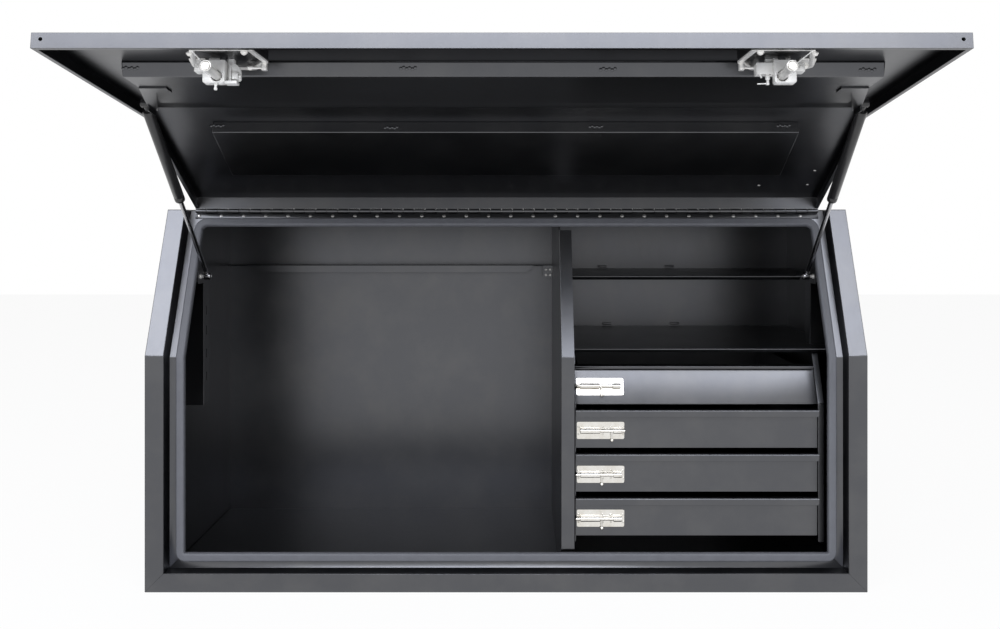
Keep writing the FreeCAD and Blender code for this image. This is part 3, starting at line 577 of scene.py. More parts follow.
def slab(form: Form, low: Triple, high: Triple, edge: float = 0.0) -> None:
    """Add a plate to a bmesh, with its edges rounded.

    Args:
        form: the mesh being built.
        low: lowest corner.
        high: highest corner.
        edge: radius of the edges.
    """
    low, high = Vector(low), Vector(high)
    made = bmesh.ops.create_cube(form, size=1.0, matrix=Matrix.Translation((low + high) / 2)
                                 @ Matrix.Diagonal((*(high - low), 1.0)))
    if edge > 0.0:
        lines = {line for vert in made["verts"] for line in vert.link_edges}
        bmesh.ops.bevel(form, geom=list(lines), offset=edge, segments=2, affect="EDGES",
                        profile=0.5)


def bar(form: Form, start: Vector, end: Vector, radius: float, tip: float = 0.4,
        steps: int = 16) -> None:
    """Add a round bar with chamfered ends.

    Args:
        form: the mesh being built.
        start: middle of one end.
        end: middle of the other end.
        radius: radius of the bar.
        tip: size of the chamfers.
        steps: facets round the bar.
    """
    length = (end - start).length
    turned(form, [(radius - tip, 0.0), (radius, tip), (radius, length - tip),
                  (radius - tip, length)], start, end - start, steps)


def sleeve(form: Form, start: Vector, end: Vector, outer: float, inner: float,
           tip: float = 0.5, steps: int = 28) -> None:
    """Add a short tube with chamfered rims.

    Args:
        form: the mesh being built.
        start: middle of one end.
        end: middle of the other end.
        outer: outer radius.
        inner: radius of the hole.
        tip: size of the chamfers.
        steps: facets round the tube.
    """
    length = (end - start).length
    loop = [(inner, tip), (inner + tip, 0.0), (outer - tip, 0.0), (outer, tip),
            (outer, length - tip), (outer - tip, length), (inner + tip, length),
            (inner, length - tip)]
    turned(form, loop + loop[:1], start, end - start, steps, False)


def nut(form: Form, start: Vector, axis: Vector, radius: float, height: float) -> None:
    """Add a hexagon nut with a round washer face.

    Args:
        form: the mesh being built.
        start: middle of the seated face.
        axis: direction away from the seat.
        radius: radius over the corners.
        height: height of the hexagon.
    """
    chamfer = 0.12 * radius
    turned(form, [(radius * 1.12, 0.0), (radius * 1.12, 0.6), (radius * 0.9, 0.7)], start, axis)
    turned(form, [(radius, 0.6), (radius, height - chamfer), (radius - chamfer, height)], start,
           axis, 6)


def screw(form: Form, start: Vector, axis: Vector, radius: float,
          height: float) -> None:
    """Add a round screw head with a sunk middle.

    Args:
        form: the mesh being built.
        start: middle of the seated face.
        axis: direction away from the seat.
        radius: radius of the head.
        height: height of the head.
    """
    turned(form, [(radius, 0.0), (radius, height * 0.35), (radius * 0.86, height * 0.75),
                  (radius * 0.55, height), (radius * 0.42, height), (radius * 0.30, height * 0.45),
                  (0.0, height * 0.45)], start, axis, 20)


@dataclass(frozen=True)
class Outline:
    """A flat shape whose corners carry their own radius, in millimetres."""

    corners: Tuple[Tuple[float, float, float], ...]
    steps: int = 6

    def ring(self, inset: float) -> List[Point]:
        """Points round the shape, moved in from its edge.

        Args:
            inset: distance inside the edge.

        Returns:
            The same number of points whatever the inset.
        """
        places = [Vector(corner[:2]) for corner in self.corners]
        area = sum(a.x * b.y - a.y * b.x for a, b in zip(places, places[1:] + places[:1]))
        turn = 1.0 if area > 0 else -1.0
        points: List[Point] = []
        count = len(places)
        for index, here in enumerate(places):
            back = (places[index - 1] - here).normalized()
            ahead = (places[(index + 1) % count] - here).normalized()
            half = 0.5 * math.acos(max(-1.0, min(1.0, back.dot(ahead))))
            inward = (back + ahead).normalized()
            bulge = 1.0 if (ahead.x * back.y - ahead.y * back.x) * turn > 0 else -1.0
            moved = here + inward * (inset * bulge / math.sin(half))
            radius = max(self.corners[index][2] - inset * bulge, 0.05)
            centre = moved + inward * (radius / math.sin(half))
            first = (moved + back * (radius / math.tan(half)) - centre).normalized()
            last = (moved + ahead * (radius / math.tan(half)) - centre).normalized()
            sweep = first.angle(last, 0.0)
            for step in range(self.steps + 1):
                share = step / self.steps
                if sweep < 1e-6:
                    spoke = first
                else:
                    spoke = (first * math.sin((1 - share) * sweep)
                             + last * math.sin(share * sweep)) / math.sin(sweep)
                points.append(tuple(centre + spoke * radius))
        return points


def lofted(form: Form, outline: Outline, profile: Sequence[Point],
           closed: bool = False, upright: bool = False) -> None:
    """Carry a profile of (inset, height) pairs round an outline; the height runs along y.

    Args:
        form: the mesh being built.
        outline: the shape in (x, z), or in (x, y) if upright.
        profile: pairs of inset from the edge and height.
        closed: join the profile's ends to each other in place of capping them.
        upright: run the height along z in place of y.
    """
    rings = [[form.verts.new((x, w, height) if upright else (x, height, w))
              for x, w in outline.ring(inset)] for inset, height in profile]
    pairs = list(zip(rings, rings[1:])) + ([(rings[-1], rings[0])] if closed else [])
    for first, second in pairs:
        count = len(first)
        for step in range(count):
            after = (step + 1) % count
            form.faces.new((first[step], first[after], second[after], second[step]))
    if not closed:
        form.faces.new(rings[0])
        form.faces.new(rings[-1])


def plate_profile(low: float, high: float, edge: float) -> List[Point]:
    """Profile of a flat plate with rounded edges.

    Args:
        low: height of one face.
        high: height of the other face.
        edge: size of the rounding.

    Returns:
        Pairs of inset and height.
    """
    near = 0.3 * edge
    return [(edge, low), (near, low + near), (0.0, low + edge), (0.0, high - edge),
            (near, high - near), (edge, high)]


def box_outline(left: float, right: float, low: float, high: float, radius: float,
                steps: int = 4) -> Outline:
    """Rectangle with four equal corner radii."""
    return Outline(((left, low, radius), (right, low, radius), (right, high, radius),
                    (left, high, radius)), steps)


def carved(solid: Form, cutter: Form) -> Form:
    """Cut one closed form out of another.

    Args:
        solid: the form that loses material; it is used up.
        cutter: the form that is taken away; it is used up.

    Returns:
        The carved form.
    """
    pair = []
    for form in (solid, cutter):
        bmesh.ops.recalc_face_normals(form, faces=form.faces)
        mesh = bpy.data.meshes.new("carving")
        form.to_mesh(mesh)
        form.free()
        pair.append(bpy.data.objects.new("carving", mesh))
        bpy.context.scene.collection.objects.link(pair[-1])
    cut = pair[0].modifiers.new("cut", "BOOLEAN")
    cut.operation = "DIFFERENCE"
    cut.solver = "EXACT"
    cut.use_self = True
    cut.object = pair[1]
    made = bmesh.new()
    made.from_object(pair[0], bpy.context.evaluated_depsgraph_get())
    for piece in pair:
        mesh = piece.data
        bpy.data.objects.remove(piece)
        bpy.data.meshes.remove(mesh)
    return made


@dataclass(frozen=True)
class BoxForm:
    """The box's driving sizes, in metres, and its kinked front."""

    width: float = 1.600
    depth: float = 0.620
    height: float = 0.850
    kink: float = 0.523
    setback: float = 0.140
    opening_edge: float = 0.733
    opening_low: float = 0.066
    opening_high: float = 0.339
    low_radius: float = 0.012
    high_radius: float = 0.020
    rebate: float = 0.038
    open_angle: float = math.radians(97.0)

    @property
    def slope(self) -> float:
        """Lean of the upper front from upright."""
        return math.atan2(self.setback, self.height - self.kink)

    @property
    def lean(self) -> Matrix:
        """Lean of the front above the kink.

        Returns:
            Carries an upright piece drawn above the kink onto the leaning front.
        """
        pivot = Vector((0, -self.depth / 2, self.kink))
        return (Matrix.Translation(pivot) @ Matrix.Rotation(-self.slope, 4, "X")
                @ Matrix.Translation(-pivot))

    @property
    def pin(self) -> Vector:
        """A point on the lid's hinge line."""
        joint = next(j for j in frame["joints"] if j["name"] == "lid_hinge")
        return Vector(joint["pos_m"])

    @property
    def open_lid(self) -> Matrix:
        """Carries a piece of the closed lid to where the lid rests."""
        return (Matrix.Translation(self.pin) @ Matrix.Rotation(-self.open_angle, 4, "X")
                @ Matrix.Translation(-self.pin))

    def closed_mm(self, side: Side) -> Matrix:
        """Carries a drawing in millimetres, made for the right side, to one side of the box."""
        return (Matrix.Translation(Vector((0, -self.depth / 2, 0)))
                @ Matrix.Diagonal((MM * side.value, MM, MM, 1.0)))

    def front_point(self, x: float, along: float, inward: float) -> Vector:
        """Point by the front face.

        Args:
            x: place across the box.
            along: height over the kink, measured on the face.
            inward: distance behind the face.

        Returns:
            The point in the row frame.
        """
        front = -self.depth / 2
        if along == 0.0:
            return Vector((x, front + inward, self.kink - inward * math.tan(self.slope / 2)))
        if along < 0.0:
            return Vector((x, front + inward, self.kink + along))
        return Vector((x, front + along * math.sin(self.slope) + inward * math.cos(self.slope),
                       self.kink + along * math.cos(self.slope) - inward * math.sin(self.slope)))


@dataclass
class Sheetwork:
    """The bent sheet of the box, its shelves, drawers and lid."""

    forge: Forge
    form: BoxForm
    bent: Tuple[str, ...] = ("side_panel_left", "side_panel_right", "base_panel", "roof_panel",
                             "back_panel", "divider_panel", "upper_shelf", "lower_shelf",
                             "back_rail", "drawer_side_left", "drawer_side_right", "lid_panel",
                             "lid_stiffener_lower", "lid_stiffener_upper")
    fine: Tuple[str, ...] = ("strut_post_left", "strut_post_right", "strut_brackets",
                             "runner_rails")
    shelves: Tuple[str, ...] = ("upper_shelf", "lower_shelf")
    flange_start: float = 0.006
    flange_shift: Triple = (0.0, 0.0088, 0.0040)
    drawers: int = 4
    face_sheet: float = 0.0015
    pull_start: float = 0.001
    pull_droop: float = math.radians(36.0)

    def build(self) -> None:
        """Round the edges of every sheet piece."""
        for node in self.bent:
            reshape = self.fold_flange if node in self.shelves else None
            self.forge.rounded_node(node, Edge.BENT, reshape)
        for node in self.fine:
            self.forge.rounded_node(node, Edge.FINE)
        for number in range(1, self.drawers + 1):
            reshape = self.droop_pull if number == self.drawers else None
            self.forge.rounded_node(f"drawer_front_{number}", Edge.BENT, reshape)
            self.forge.rounded_node(f"drawer_tray_{number}", Edge.FINE)

    def droop_pull(self, form: Form) -> None:
        """Bend the leaning drawer's pull down from the face's top edge.

        Args:
            form: copy of the drawer's front, in place.
        """
        form.transform(self.form.lean.inverted())
        top = max(point.co.z for point in form.verts)
        face = max(point.co.y for point in form.verts) - self.face_sheet
        pivot = Vector((0.0, face, top))
        bend = Matrix.Rotation(self.pull_droop, 4, "X")
        for point in form.verts:
            if point.co.y < face - self.pull_start:
                point.co = pivot + bend @ (point.co - pivot)
        form.transform(self.form.lean)

    def fold_flange(self, form: Form) -> None:
        """Lean a shelf's front flange back under the shelf.

        Args:
            form: copy of the shelf, in place.
        """
        top = max(point.co.z for point in form.verts)
        for point in form.verts:
            if point.co.z < top - self.flange_start:
                point.co += Vector(self.flange_shift)


@dataclass
class DoorSeal:
    """Bulb seal pushed onto the flange all round the opening."""

    forge: Forge
    form: BoxForm
    half_width: float = 0.0097
    front: float = 0.0268
    back: float = 0.0438
    middle: float = 0.001
    squareness: float = 0.55
    crease: float = 0.0016
    crease_start: float = -0.45
    corner_steps: int = 10
    profile_steps: int = 20
    kink_stations: Tuple[float, ...] = (-0.2, -0.03, 0.0, 0.03)

    def outline(self) -> List[Tuple[float, float, float, float]]:
        """Centre line of the seal on the front face.

        Returns:
            Place across, place along, and the direction to the opening's middle.
        """
        box = self.form
        half = box.opening_edge - self.middle
        low = box.opening_low - box.kink + self.middle
        high = box.opening_high - self.middle
        corners = ((1, low + box.low_radius, box.low_radius),
                   (1, high - box.high_radius, box.high_radius),
                   (-1, high - box.high_radius, box.high_radius),
                   (-1, low + box.low_radius, box.low_radius))
        stations: List[Tuple[float, float, float, float]] = []
        quarter = math.pi / 2
        for turn, (side, centre_s, radius) in enumerate(corners):
            centre_x = side * (half - radius)
            for step in range(self.corner_steps + 1):
                angle = quarter * (turn - 1) + quarter * step / self.corner_steps
                stations.append((centre_x + radius * math.cos(angle),
                                 centre_s + radius * math.sin(angle),
                                 -math.cos(angle), -math.sin(angle)))
            if turn % 2 == 0:
                stations += [(side * half, s, -side, 0.0) for s in self.kink_stations[::side]]
        return stations

    def profile(self) -> List[Point]:
        """Cross-section: a flattened bulb with a shallow crease on its front.

        Returns:
            Pairs of place across and distance behind the front face.
        """
        points = []
        depth = (self.back - self.front) / 2
        centre = (self.back + self.front) / 2
        for step in range(self.profile_steps):
            angle = 2 * math.pi * step / self.profile_steps
            across, inward = (math.copysign(abs(share) ** self.squareness, share)
                              for share in (math.cos(angle), math.sin(angle)))
            creased = inward < 0 and self.crease_start < across < 0.0
            points.append((across * self.half_width,
                           centre + inward * depth + (self.crease if creased else 0.0)))
        return points

    def build(self) -> None:
        """Sweep the cross-section round the opening."""
        form = bmesh.new()
        rings = []
        for x, along, to_x, to_s in self.outline():
            ring = []
            for across, inward in self.profile():
                s = along if along == 0.0 else along + to_s * across
                ring.append(form.verts.new(self.form.front_point(x + to_x * across, s, inward)))
            rings.append(ring)
        for first, second in zip(rings, rings[1:] + rings[:1]):
            count = len(first)
            for step in range(count):
                form.faces.new((first[step], first[(step + 1) % count],
                                second[(step + 1) % count], second[step]))
        self.forge.enter(form, "door_seal_bulb", "door_seal", 60.0)


@dataclass
class PianoHinge:
    """Long hinge with fine rolled knuckles and domed rivets on both leaves."""

    forge: Forge
    form: BoxForm
    half_length: float = 0.745
    knuckles: int = 57
    radius: float = 0.005
    chamfer: float = 0.0006
    gap: float = 0.0008
    leaf: float = 0.002
    leaf_edge: float = 0.0004
    leaf_low: float = 0.349
    lid_leaf_front: float = 0.148
    rivets: int = 28
    rivet_pitch: float = 0.0533
    rivet_shift: float = -0.0173
    rivet_radius: float = 0.0044
    rivet_height: float = 0.0017
    body_rivet_along: float = 0.355
    lid_rivet_depth: float = 0.157

    def roll(self, form: Form, first: int, centre: Vector, tab: Callable) -> None:
        """Add every second knuckle and the tab that joins it to its leaf.

        Args:
            form: the mesh being built.
            first: number of the first knuckle.
            centre: a point on the pin, in the leaf's drawing position.
            tab: adds the tab between two x values.
        """
        pitch = 2 * self.half_length / self.knuckles
        length = pitch - self.gap
        rim = self.radius - self.chamfer
        for index in range(first, self.knuckles, 2):
            start = -self.half_length + pitch * index + self.gap / 2
            turned(form, [(rim, 0.0), (self.radius, self.chamfer),
                          (self.radius, length - self.chamfer), (rim, length)],
                   Vector((start, centre.y, centre.z)), Vector((1, 0, 0)), 18)
            tab(start, start + length)

    def build(self) -> None:
        """Make both leaves, their knuckles and rivets."""
        self._body_leaf()
        self._lid_leaf()

    def _body_leaf(self) -> None:
        """Leaf that lies on the flange under the pin."""
        box = self.form
        front = box.rebate - box.depth / 2
        pin = box.lean.inverted() @ box.pin
        end = pin.z - self.radius - self.gap
        form = bmesh.new()
        slab(form, (-self.half_length, front - self.leaf, box.kink + self.leaf_low),
             (self.half_length, front, end), self.leaf_edge)
        self.roll(form, 0, pin, lambda x0, x1: slab(
            form, (x0, front - self.leaf, end - self.gap), (x1, front, pin.z)))
        form.transform(box.lean)
        self.forge.enter(form, "hinge_body_leaf", "hinge_leaf_body")
        self._rivet_row("body", front - self.leaf, box.kink + self.body_rivet_along,
                        Vector((0, -1, 0)), box.lean)

    def _lid_leaf(self) -> None:
        """Leaf that lies on the lid's top flange."""
        box = self.form
        front = -box.depth / 2
        end = box.pin.y - self.radius - self.gap
        top = box.height + self.leaf
        form = bmesh.new()
        slab(form, (-self.half_length, front + self.lid_leaf_front, box.height),
             (self.half_length, end, top), self.leaf_edge)
        self.roll(form, 1, box.pin, lambda x0, x1: slab(
            form, (x0, end - self.gap, box.height), (x1, box.pin.y, top)))
        form.transform(box.open_lid)
        self.forge.enter(form, "hinge_lid_leaf", "hinge_leaf_lid")
        self._rivet_row("lid", front + self.lid_rivet_depth, top, Vector((0, 0, 1)),
                        box.open_lid)

    def _rivet_row(self, leaf: str, y: float, z: float, out: Vector, place: Matrix) -> None:
        """Set the row of rivet heads on a leaf.

        Args:
            leaf: word for the leaf in the names.
            y: place of the row in depth.
            z: height of the row.
            out: direction away from the leaf.
            place: carries the row onto the hinge.
        """
        heads = bmesh.new()
        start = self.rivet_shift - self.rivet_pitch * (self.rivets - 1) / 2
        for index in range(self.rivets):
            turned(heads, dome(self.rivet_radius, self.rivet_height),
                   Vector((start + self.rivet_pitch * index, y, z)), out, 14)
        heads.transform(place)
        self.forge.enter(heads, f"hinge_{leaf}_rivets", "hinge_rivets_" + leaf, 80.0)


@dataclass
class GasStrut:
    """One gas strut with its ball sockets and the places of its studs, in millimetres."""

    forge: Forge
    form: BoxForm
    side: Side
    ball: Triple = (708.0, 20.0, 420.0)
    stud: Triple = (712.0, 160.0, 691.5)
    tab: float = 695.5
    post: float = 729.0
    socket_half: float = 7.6
    socket_radii: Point = (8.2, 5.6)
    neck: Tuple[Point, ...] = ((5.0, 5.5), (5.0, 12.0), (4.2, 12.6), (4.2, 17.0), (5.4, 17.4),
                               (5.4, 19.5), (2.0, 19.6))
    tube: Tuple[Point, ...] = (
        (4.4, 18.2), (7.6, 18.4), (9.8, 19.6), (10.8, 22.0), (11.0, 25.0), (11.0, 258.0),
        (10.45, 259.2), (10.45, 261.0), (11.0, 262.2), (11.0, 270.0), (10.5, 272.6), (9.0, 274.4),
        (7.4, 275.0), (6.2, 274.6), (5.5, 273.0), (5.5, 264.0), (8.9, 263.0), (8.9, 24.0),
        (0.0, 23.0))
    piston: Tuple[Point, ...] = ((0.0, 250.0), (8.5, 250.3), (8.5, 256.5), (5.0, 257.0))
    rod_end: Tuple[Point, ...] = ((5.0, 17.0), (3.4, 16.4))

    def ends(self) -> Tuple[Vector, Vector]:
        """Both ends of the strut with the lid up.

        Returns:
            Centres of the lid ball and the body stud, in metres.
        """
        to_row = self.form.closed_mm(self.side)
        ball = self.form.open_lid @ to_row @ Vector(self.ball)
        return ball, to_row @ Vector(self.stud)

    def line(self) -> Matrix:
        """Place of the strut.

        Returns:
            Carries a piece drawn up the z axis in millimetres onto the strut.
        """
        start, end = self.ends()
        ahead = (end - start).normalized()
        across = Vector((1, 0, 0)) - ahead * ahead.x
        across.normalize()
        turn = Matrix((across, ahead.cross(across), ahead)).transposed().to_4x4()
        return Matrix.Translation(start) @ turn @ Matrix.Scale(MM, 4)

    def build(self) -> None:
        """Make the painted tube and the polished rod with its piston."""
        tube = bmesh.new()
        self.socket(tube, 0.0, 1.0)
        turned(tube, self.tube, Vector(), Vector((0, 0, 1)), 32)
        start, end = self.ends()
        length = (end - start).length / MM
        rod = bmesh.new()
        ending = tuple((radius, length - short) for radius, short in self.rod_end)
        turned(rod, self.piston + ending, Vector(), Vector((0, 0, 1)), 24)
        self.socket(rod, length, -1.0)
        for form, part in ((tube, "strut_tube_"), (rod, "strut_rod_")):
            form.transform(self.line())
            node = part + self.side.word
            self.forge.enter(form, node + "_turned", node)

    def socket(self, form: Form, middle: float, toward: float) -> None:
        """Add a ball socket with its spring clip.

        Args:
            form: the mesh being built.
            middle: place of the socket's centre along the strut.
            toward: 1 where the strut goes on up the line, -1 where it ends.
        """
        centre, half = Vector((0, 0, middle)), Vector((self.socket_half, 0, 0))
        sleeve(form, centre - half, centre + half, *self.socket_radii, 0.8)
        turned(form, self.neck, centre, Vector((0, 0, toward)), 18)


@dataclass
class StrutStuds:
    """Ball studs on the lid's brackets and on the body's posts, both sides, in millimetres."""

    forge: Forge
    form: BoxForm
    ball_radius: float = 5.0
    ball_steps: int = 10
    ball_neck: Point = (2.6, 4.3)
    shank_radii: Point = (3.0, 4.0)
    nut_radii: Point = (5.6, 6.0)
    nut_heights: Triple = (3.4, 4.4, 2.4)

    def build(self) -> None:
        """Make the four studs as two pieces."""
        lid, body = bmesh.new(), bmesh.new()
        for side in Side:
            strut = GasStrut(self.forge, self.form, side)
            self._merge(lid, self._lid_stud(strut), self.form.open_lid @ self.form.closed_mm(side))
            self._merge(body, self._body_stud(strut), self.form.closed_mm(side))
        self.forge.enter(lid, "lid_stud_set", "lid_ball_studs")
        self.forge.enter(body, "body_stud_set", "body_ball_studs")

    @staticmethod
    def _merge(target: Form, made: Form, place: Matrix) -> None:
        """Put a finished form into another.

        Args:
            target: the form that grows.
            made: the form that is added; it is used up.
            place: carries it into the row frame.
        """
        made.transform(place)
        mesh = bpy.data.meshes.new("stud")
        made.to_mesh(mesh)
        made.free()
        target.from_mesh(mesh)
        bpy.data.meshes.remove(mesh)

    def _lid_stud(self, strut: GasStrut) -> Form:
        """Ball, shank, hexagon collar and the nut behind the bracket.

        Args:
            strut: the strut that hangs on it.

        Returns:
            The stud, in the drawing's place.
        """
        form = bmesh.new()
        x, v, z = strut.ball
        out = Vector((1, 0, 0))
        radius, height = self.ball_radius, self.nut_heights
        turns = [math.pi * step / self.ball_steps for step in range(1, self.ball_steps - 1)]
        ball = [(radius * math.sin(turn), -radius * math.cos(turn)) for turn in turns]
        turned(form, [(0.0, -radius)] + ball + [self.ball_neck], Vector((x, v, z)), out * -1, 20)
        bar(form, Vector((strut.tab - 2.0, v, z)), Vector((x - 4.0, v, z)), self.shank_radii[0])
        nut(form, Vector((strut.tab, v, z)), out, self.nut_radii[0], height[0])
        nut(form, Vector((strut.tab - 3.0, v, z)), out * -1, self.nut_radii[0], height[1])
        return form

    def _body_stud(self, strut: GasStrut) -> Form:
        """Shank with its collar and the nut behind the post's ear.

        Args:
            strut: the strut that hangs on it.

        Returns:
            The stud, in the drawing's place.
        """
        form = bmesh.new()
        x, v, z = strut.stud
        out = Vector((1, 0, 0))
        height = self.nut_heights
        bar(form, Vector((x + 8.5, v, z)), Vector((strut.post, v, z)), self.shank_radii[1])
        nut(form, Vector((strut.post, v, z)), out * -1, self.nut_radii[1], height[2])
        nut(form, Vector((strut.post + 2.5, v, z)), out, self.nut_radii[1], height[1])
        return form


@dataclass
class LidLatch:
    """One lid latch, drawn from its axis in millimetres: x across, y inward, z up the lid."""

    forge: Forge
    form: BoxForm
    side: Side
    axis: Point = (465.0, 131.0)
    shape: Outline = Outline(((39.0, -58.0, 13.0), (68.0, 51.0, 13.0), (-38.0, 60.0, 13.0),
                              (-71.0, 18.0, 13.0), (-61.0, -58.0, 13.0)))
    dish: Tuple[Point, ...] = (
        (4.5, 18.0), (1.4, 17.5), (0.2, 16.2), (0.0, 15.0), (0.0, 0.02), (-5.2, 0.02),
        (-6.0, -0.3), (-6.0, -1.0), (-5.4, -1.5), (0.5, -1.5), (1.6, -1.1), (2.0, 0.2),
        (2.1, 13.0), (3.0, 15.2), (6.0, 16.0))
    dish_bore: float = 6.5
    seat: float = 18.02
    rim: Tuple[Point, ...] = ((0.0, 18.02), (0.0, 20.2), (0.4, 20.8), (1.0, 21.0), (8.0, 21.0),
                              (8.6, 20.8), (9.0, 20.2), (9.0, 18.02))
    web: Outline = Outline(((30.0, -3.5, 2.0), (57.0, -3.5, 2.0), (66.0, 47.0, 10.0),
                            (30.0, 52.0, 2.0)))
    bosses: Tuple[Point, ...] = ((43.0, -39.0), (-47.0, -45.0), (-33.0, 41.0), (49.0, 35.0))
    hook_eye: Triple = (-62.0, 27.5, 24.0)
    hook_start: Triple = (-36.0, 29.0, 16.0)
    case_half: float = 18.0
    case_low: float = -20.0
    case_high: float = 20.0
    case_top: float = 64.8
    bolt_depth: float = 53.8
    bolt_bore: float = 9.4
    spindle_bore: float = 6.3
    cam_pin: Tuple[Point, ...] = ((2.9, 0.0), (2.9, 3.0), (2.3, 3.8), (2.3, 7.5), (2.9, 8.3),
                                  (2.9, 11.2), (2.2, 11.9))
    barrel_pin: Tuple[Point, ...] = ((2.8, 0.0), (2.8, 3.6), (3.9, 4.8), (3.9, 9.6), (2.8, 10.8),
                                     (2.3, 11.6), (2.3, 15.2), (2.7, 15.7), (2.7, 19.0),
                                     (2.0, 19.6))
    grip: Tuple[Point, ...] = ((2.4, 12.0), (0.7, 11.4), (0.0, 9.8), (0.0, 5.0), (0.7, 2.8),
                               (2.4, 1.6))
    spindle: Tuple[Point, ...] = ((0.0, 1.5), (10.5, 1.5), (12.8, 2.1), (14.0, 4.0),
                                  (14.0, 14.0), (13.2, 15.4), (6.0, 15.5), (6.0, 37.0),
                                  (5.2, 37.8), (0.0, 37.8))
    plug: Tuple[Point, ...] = ((0.0, 8.4), (6.0, 8.4), (6.0, 2.1), (5.4, 1.5), (0.0, 1.5))
    spring_bolt: Tuple[Point, ...] = (
        (0.0, -79.7), (5.7, -79.7), (6.2, -79.3), (6.3, -78.4), (6.4, -73.5), (7.9, -73.5),
        (8.0, -78.0), (8.3, -78.5), (8.9, -78.2), (8.9, -71.5), (7.4, -70.0), (7.0, -69.0),
        (7.0, -10.2), (6.2, -9.2), (0.0, -9.2))

    @property
    def place(self) -> Matrix:
        """Place of the latch.

        Returns:
            Carries the drawing to where the latch is on the raised lid.
        """
        x, z = self.axis
        return (self.form.open_lid @ self.form.closed_mm(self.side)
                @ Matrix.Translation(Vector((x, 0, z))))

    @property
    def middle(self) -> float:
        """Middle of the case, which sits further out on the left."""
        return 9.5 if self.side is Side.LEFT else 0.0

    @property
    def bolt_x(self) -> float:
        """Place of the spring bolt across the latch."""
        return self.middle - 6.0

    def enter(self, form: Form, part: str, angle: float = 35.0) -> bpy.types.Object:
        """Place a form and enter it for a latch node.

        Args:
            form: the form, drawn from the latch's axis.
            part: first part of the node's name.
            angle: edges over this angle stay sharp.

        Returns:
            The new piece.
        """
        form.transform(self.place)
        node = part + self.side.word
        return self.forge.enter(form, node + "_made", node, angle)

    def build(self) -> None:
        """Make every piece of the latch."""
        self._dish()
        self._frame()
        self._case()
        self._handle()
        self._bolt()

    def _dish(self) -> None:
        """Pressed dish with its bezel on the skin."""
        form, drill = bmesh.new(), bmesh.new()
        lofted(form, self.shape, self.dish)
        turned(drill, [(self.dish_bore, 12.0), (self.dish_bore, 24.0)], Vector(),
               Vector((0, 1, 0)), 32)
        self.enter(carved(form, drill), "latch_dish_")

    def _frame(self) -> None:
        """Bright rim with its web, screws, hook rod and rod guide on the back of the dish."""
        form = bmesh.new()
        lofted(form, self.shape, self.rim, True)
        lofted(form, self.web, plate_profile(self.seat, 20.7, 0.6))
        for x, z in self.bosses:
            sleeve(form, Vector((x, 20.0, z)), Vector((x, 23.2, z)), 6.0, 2.0, 0.5, 22)
            screw(form, Vector((x, 22.2, z)), Vector((0, 1, 0)), 4.8, 3.6)
        x, _, z = self.hook_eye
        eye = box_outline(x - 4.5, x + 4.5, z - 5.0, z + 5.0, 2.0)
        lofted(form, eye, plate_profile(20.0, 31.5, 0.8))
        bar(form, Vector(self.hook_start), Vector(self.hook_eye), 1.7)
        self.enter(form, "latch_frame_")

    def _case(self) -> None:
        """Cast case, bored for the bolt and the spindle, with what sits beside it."""
        middle, half = self.middle, self.case_half
        form = bmesh.new()
        body = Outline(((middle - half, 26.0, 1.2), (middle + half, 26.0, 1.2),
                        (middle + half, self.case_top, 4.0), (middle - half, self.case_top, 4.0)))
        lofted(form, body, plate_profile(self.case_low, -3.0, 1.1), upright=True)
        root = box_outline(middle - half + 2.0, middle + half - 2.0, -4.0,
                           self.case_high - 4.0, 1.5)
        lofted(form, root, plate_profile(25.8, 45.0, 0.8))
        foot = box_outline(middle - half + 3.0, middle + half - 3.0, 0.0,
                           self.case_high - 5.0, 1.5)
        lofted(form, foot, [(0.0, self.seat), (0.0, 27.0)])
        drill = bmesh.new()
        turned(drill, [(self.bolt_bore, -60.0), (self.bolt_bore, 60.0)],
               Vector((self.bolt_x, self.bolt_depth, 0)), Vector((0, 0, 1)), 40)
        turned(drill, [(self.spindle_bore, -10.0), (self.spindle_bore, 39.0)], Vector(),
               Vector((0, 1, 0)), 32)
        form = carved(form, drill)
        mouth = Vector((self.bolt_x, self.bolt_depth, self.case_low + 1.0))
        sleeve(form, mouth, mouth - Vector((0, 0, 3.2)), 10.8, self.bolt_bore, 0.5, 36)
        self._case_details(form)
        if self.side is Side.LEFT:
            self._cam(form)
        else:
            self._barrel(form)
        soft = self.enter(form, "latch_case_", 30.0).modifiers.new("cast edges", "BEVEL")
        soft.width = 0.0005
        soft.segments = 2
        soft.limit_method = "ANGLE"
        soft.angle_limit = math.radians(50.0)

    def _case_details(self, form: Form) -> None:
        """Add the cover's lumps, ribs, the side lug with its screw and the long wire.

        Args:
            form: the mesh being built.
        """
        middle, half, top, low = self.middle, self.case_half, self.case_top, self.case_low
        for x in (middle - 11.5, middle + 9.5):
            slab(form, (x - 3.5, top - 1.0, -17.0), (x + 3.5, top + 0.7, -8.0), 0.5)
        for x in (middle - half, middle + half):
            slab(form, (x - 0.8, 34.0, low + 4.0), (x + 0.8, 36.0, -5.0), 0.4)
        lug = box_outline(middle + half - 2.0, middle + half + 15.0, low + 1.0, low + 22.0, 2.5)
        lofted(form, lug, plate_profile(32.0, 45.0, 0.9))
        screw(form, Vector((middle + half + 8.0, 38.5, low + 1.4)), Vector((0, 0, -1)), 3.4, 2.0)
        bar(form, Vector((middle + half - 1.0, 33.0, low + 6.0)), Vector((36.0, 20.4, -52.0)),
            1.1)
        slab(form, (middle - 15.0, 57.5, low - 0.5), (middle - 12.2, 61.5, low + 0.5), 0.2)

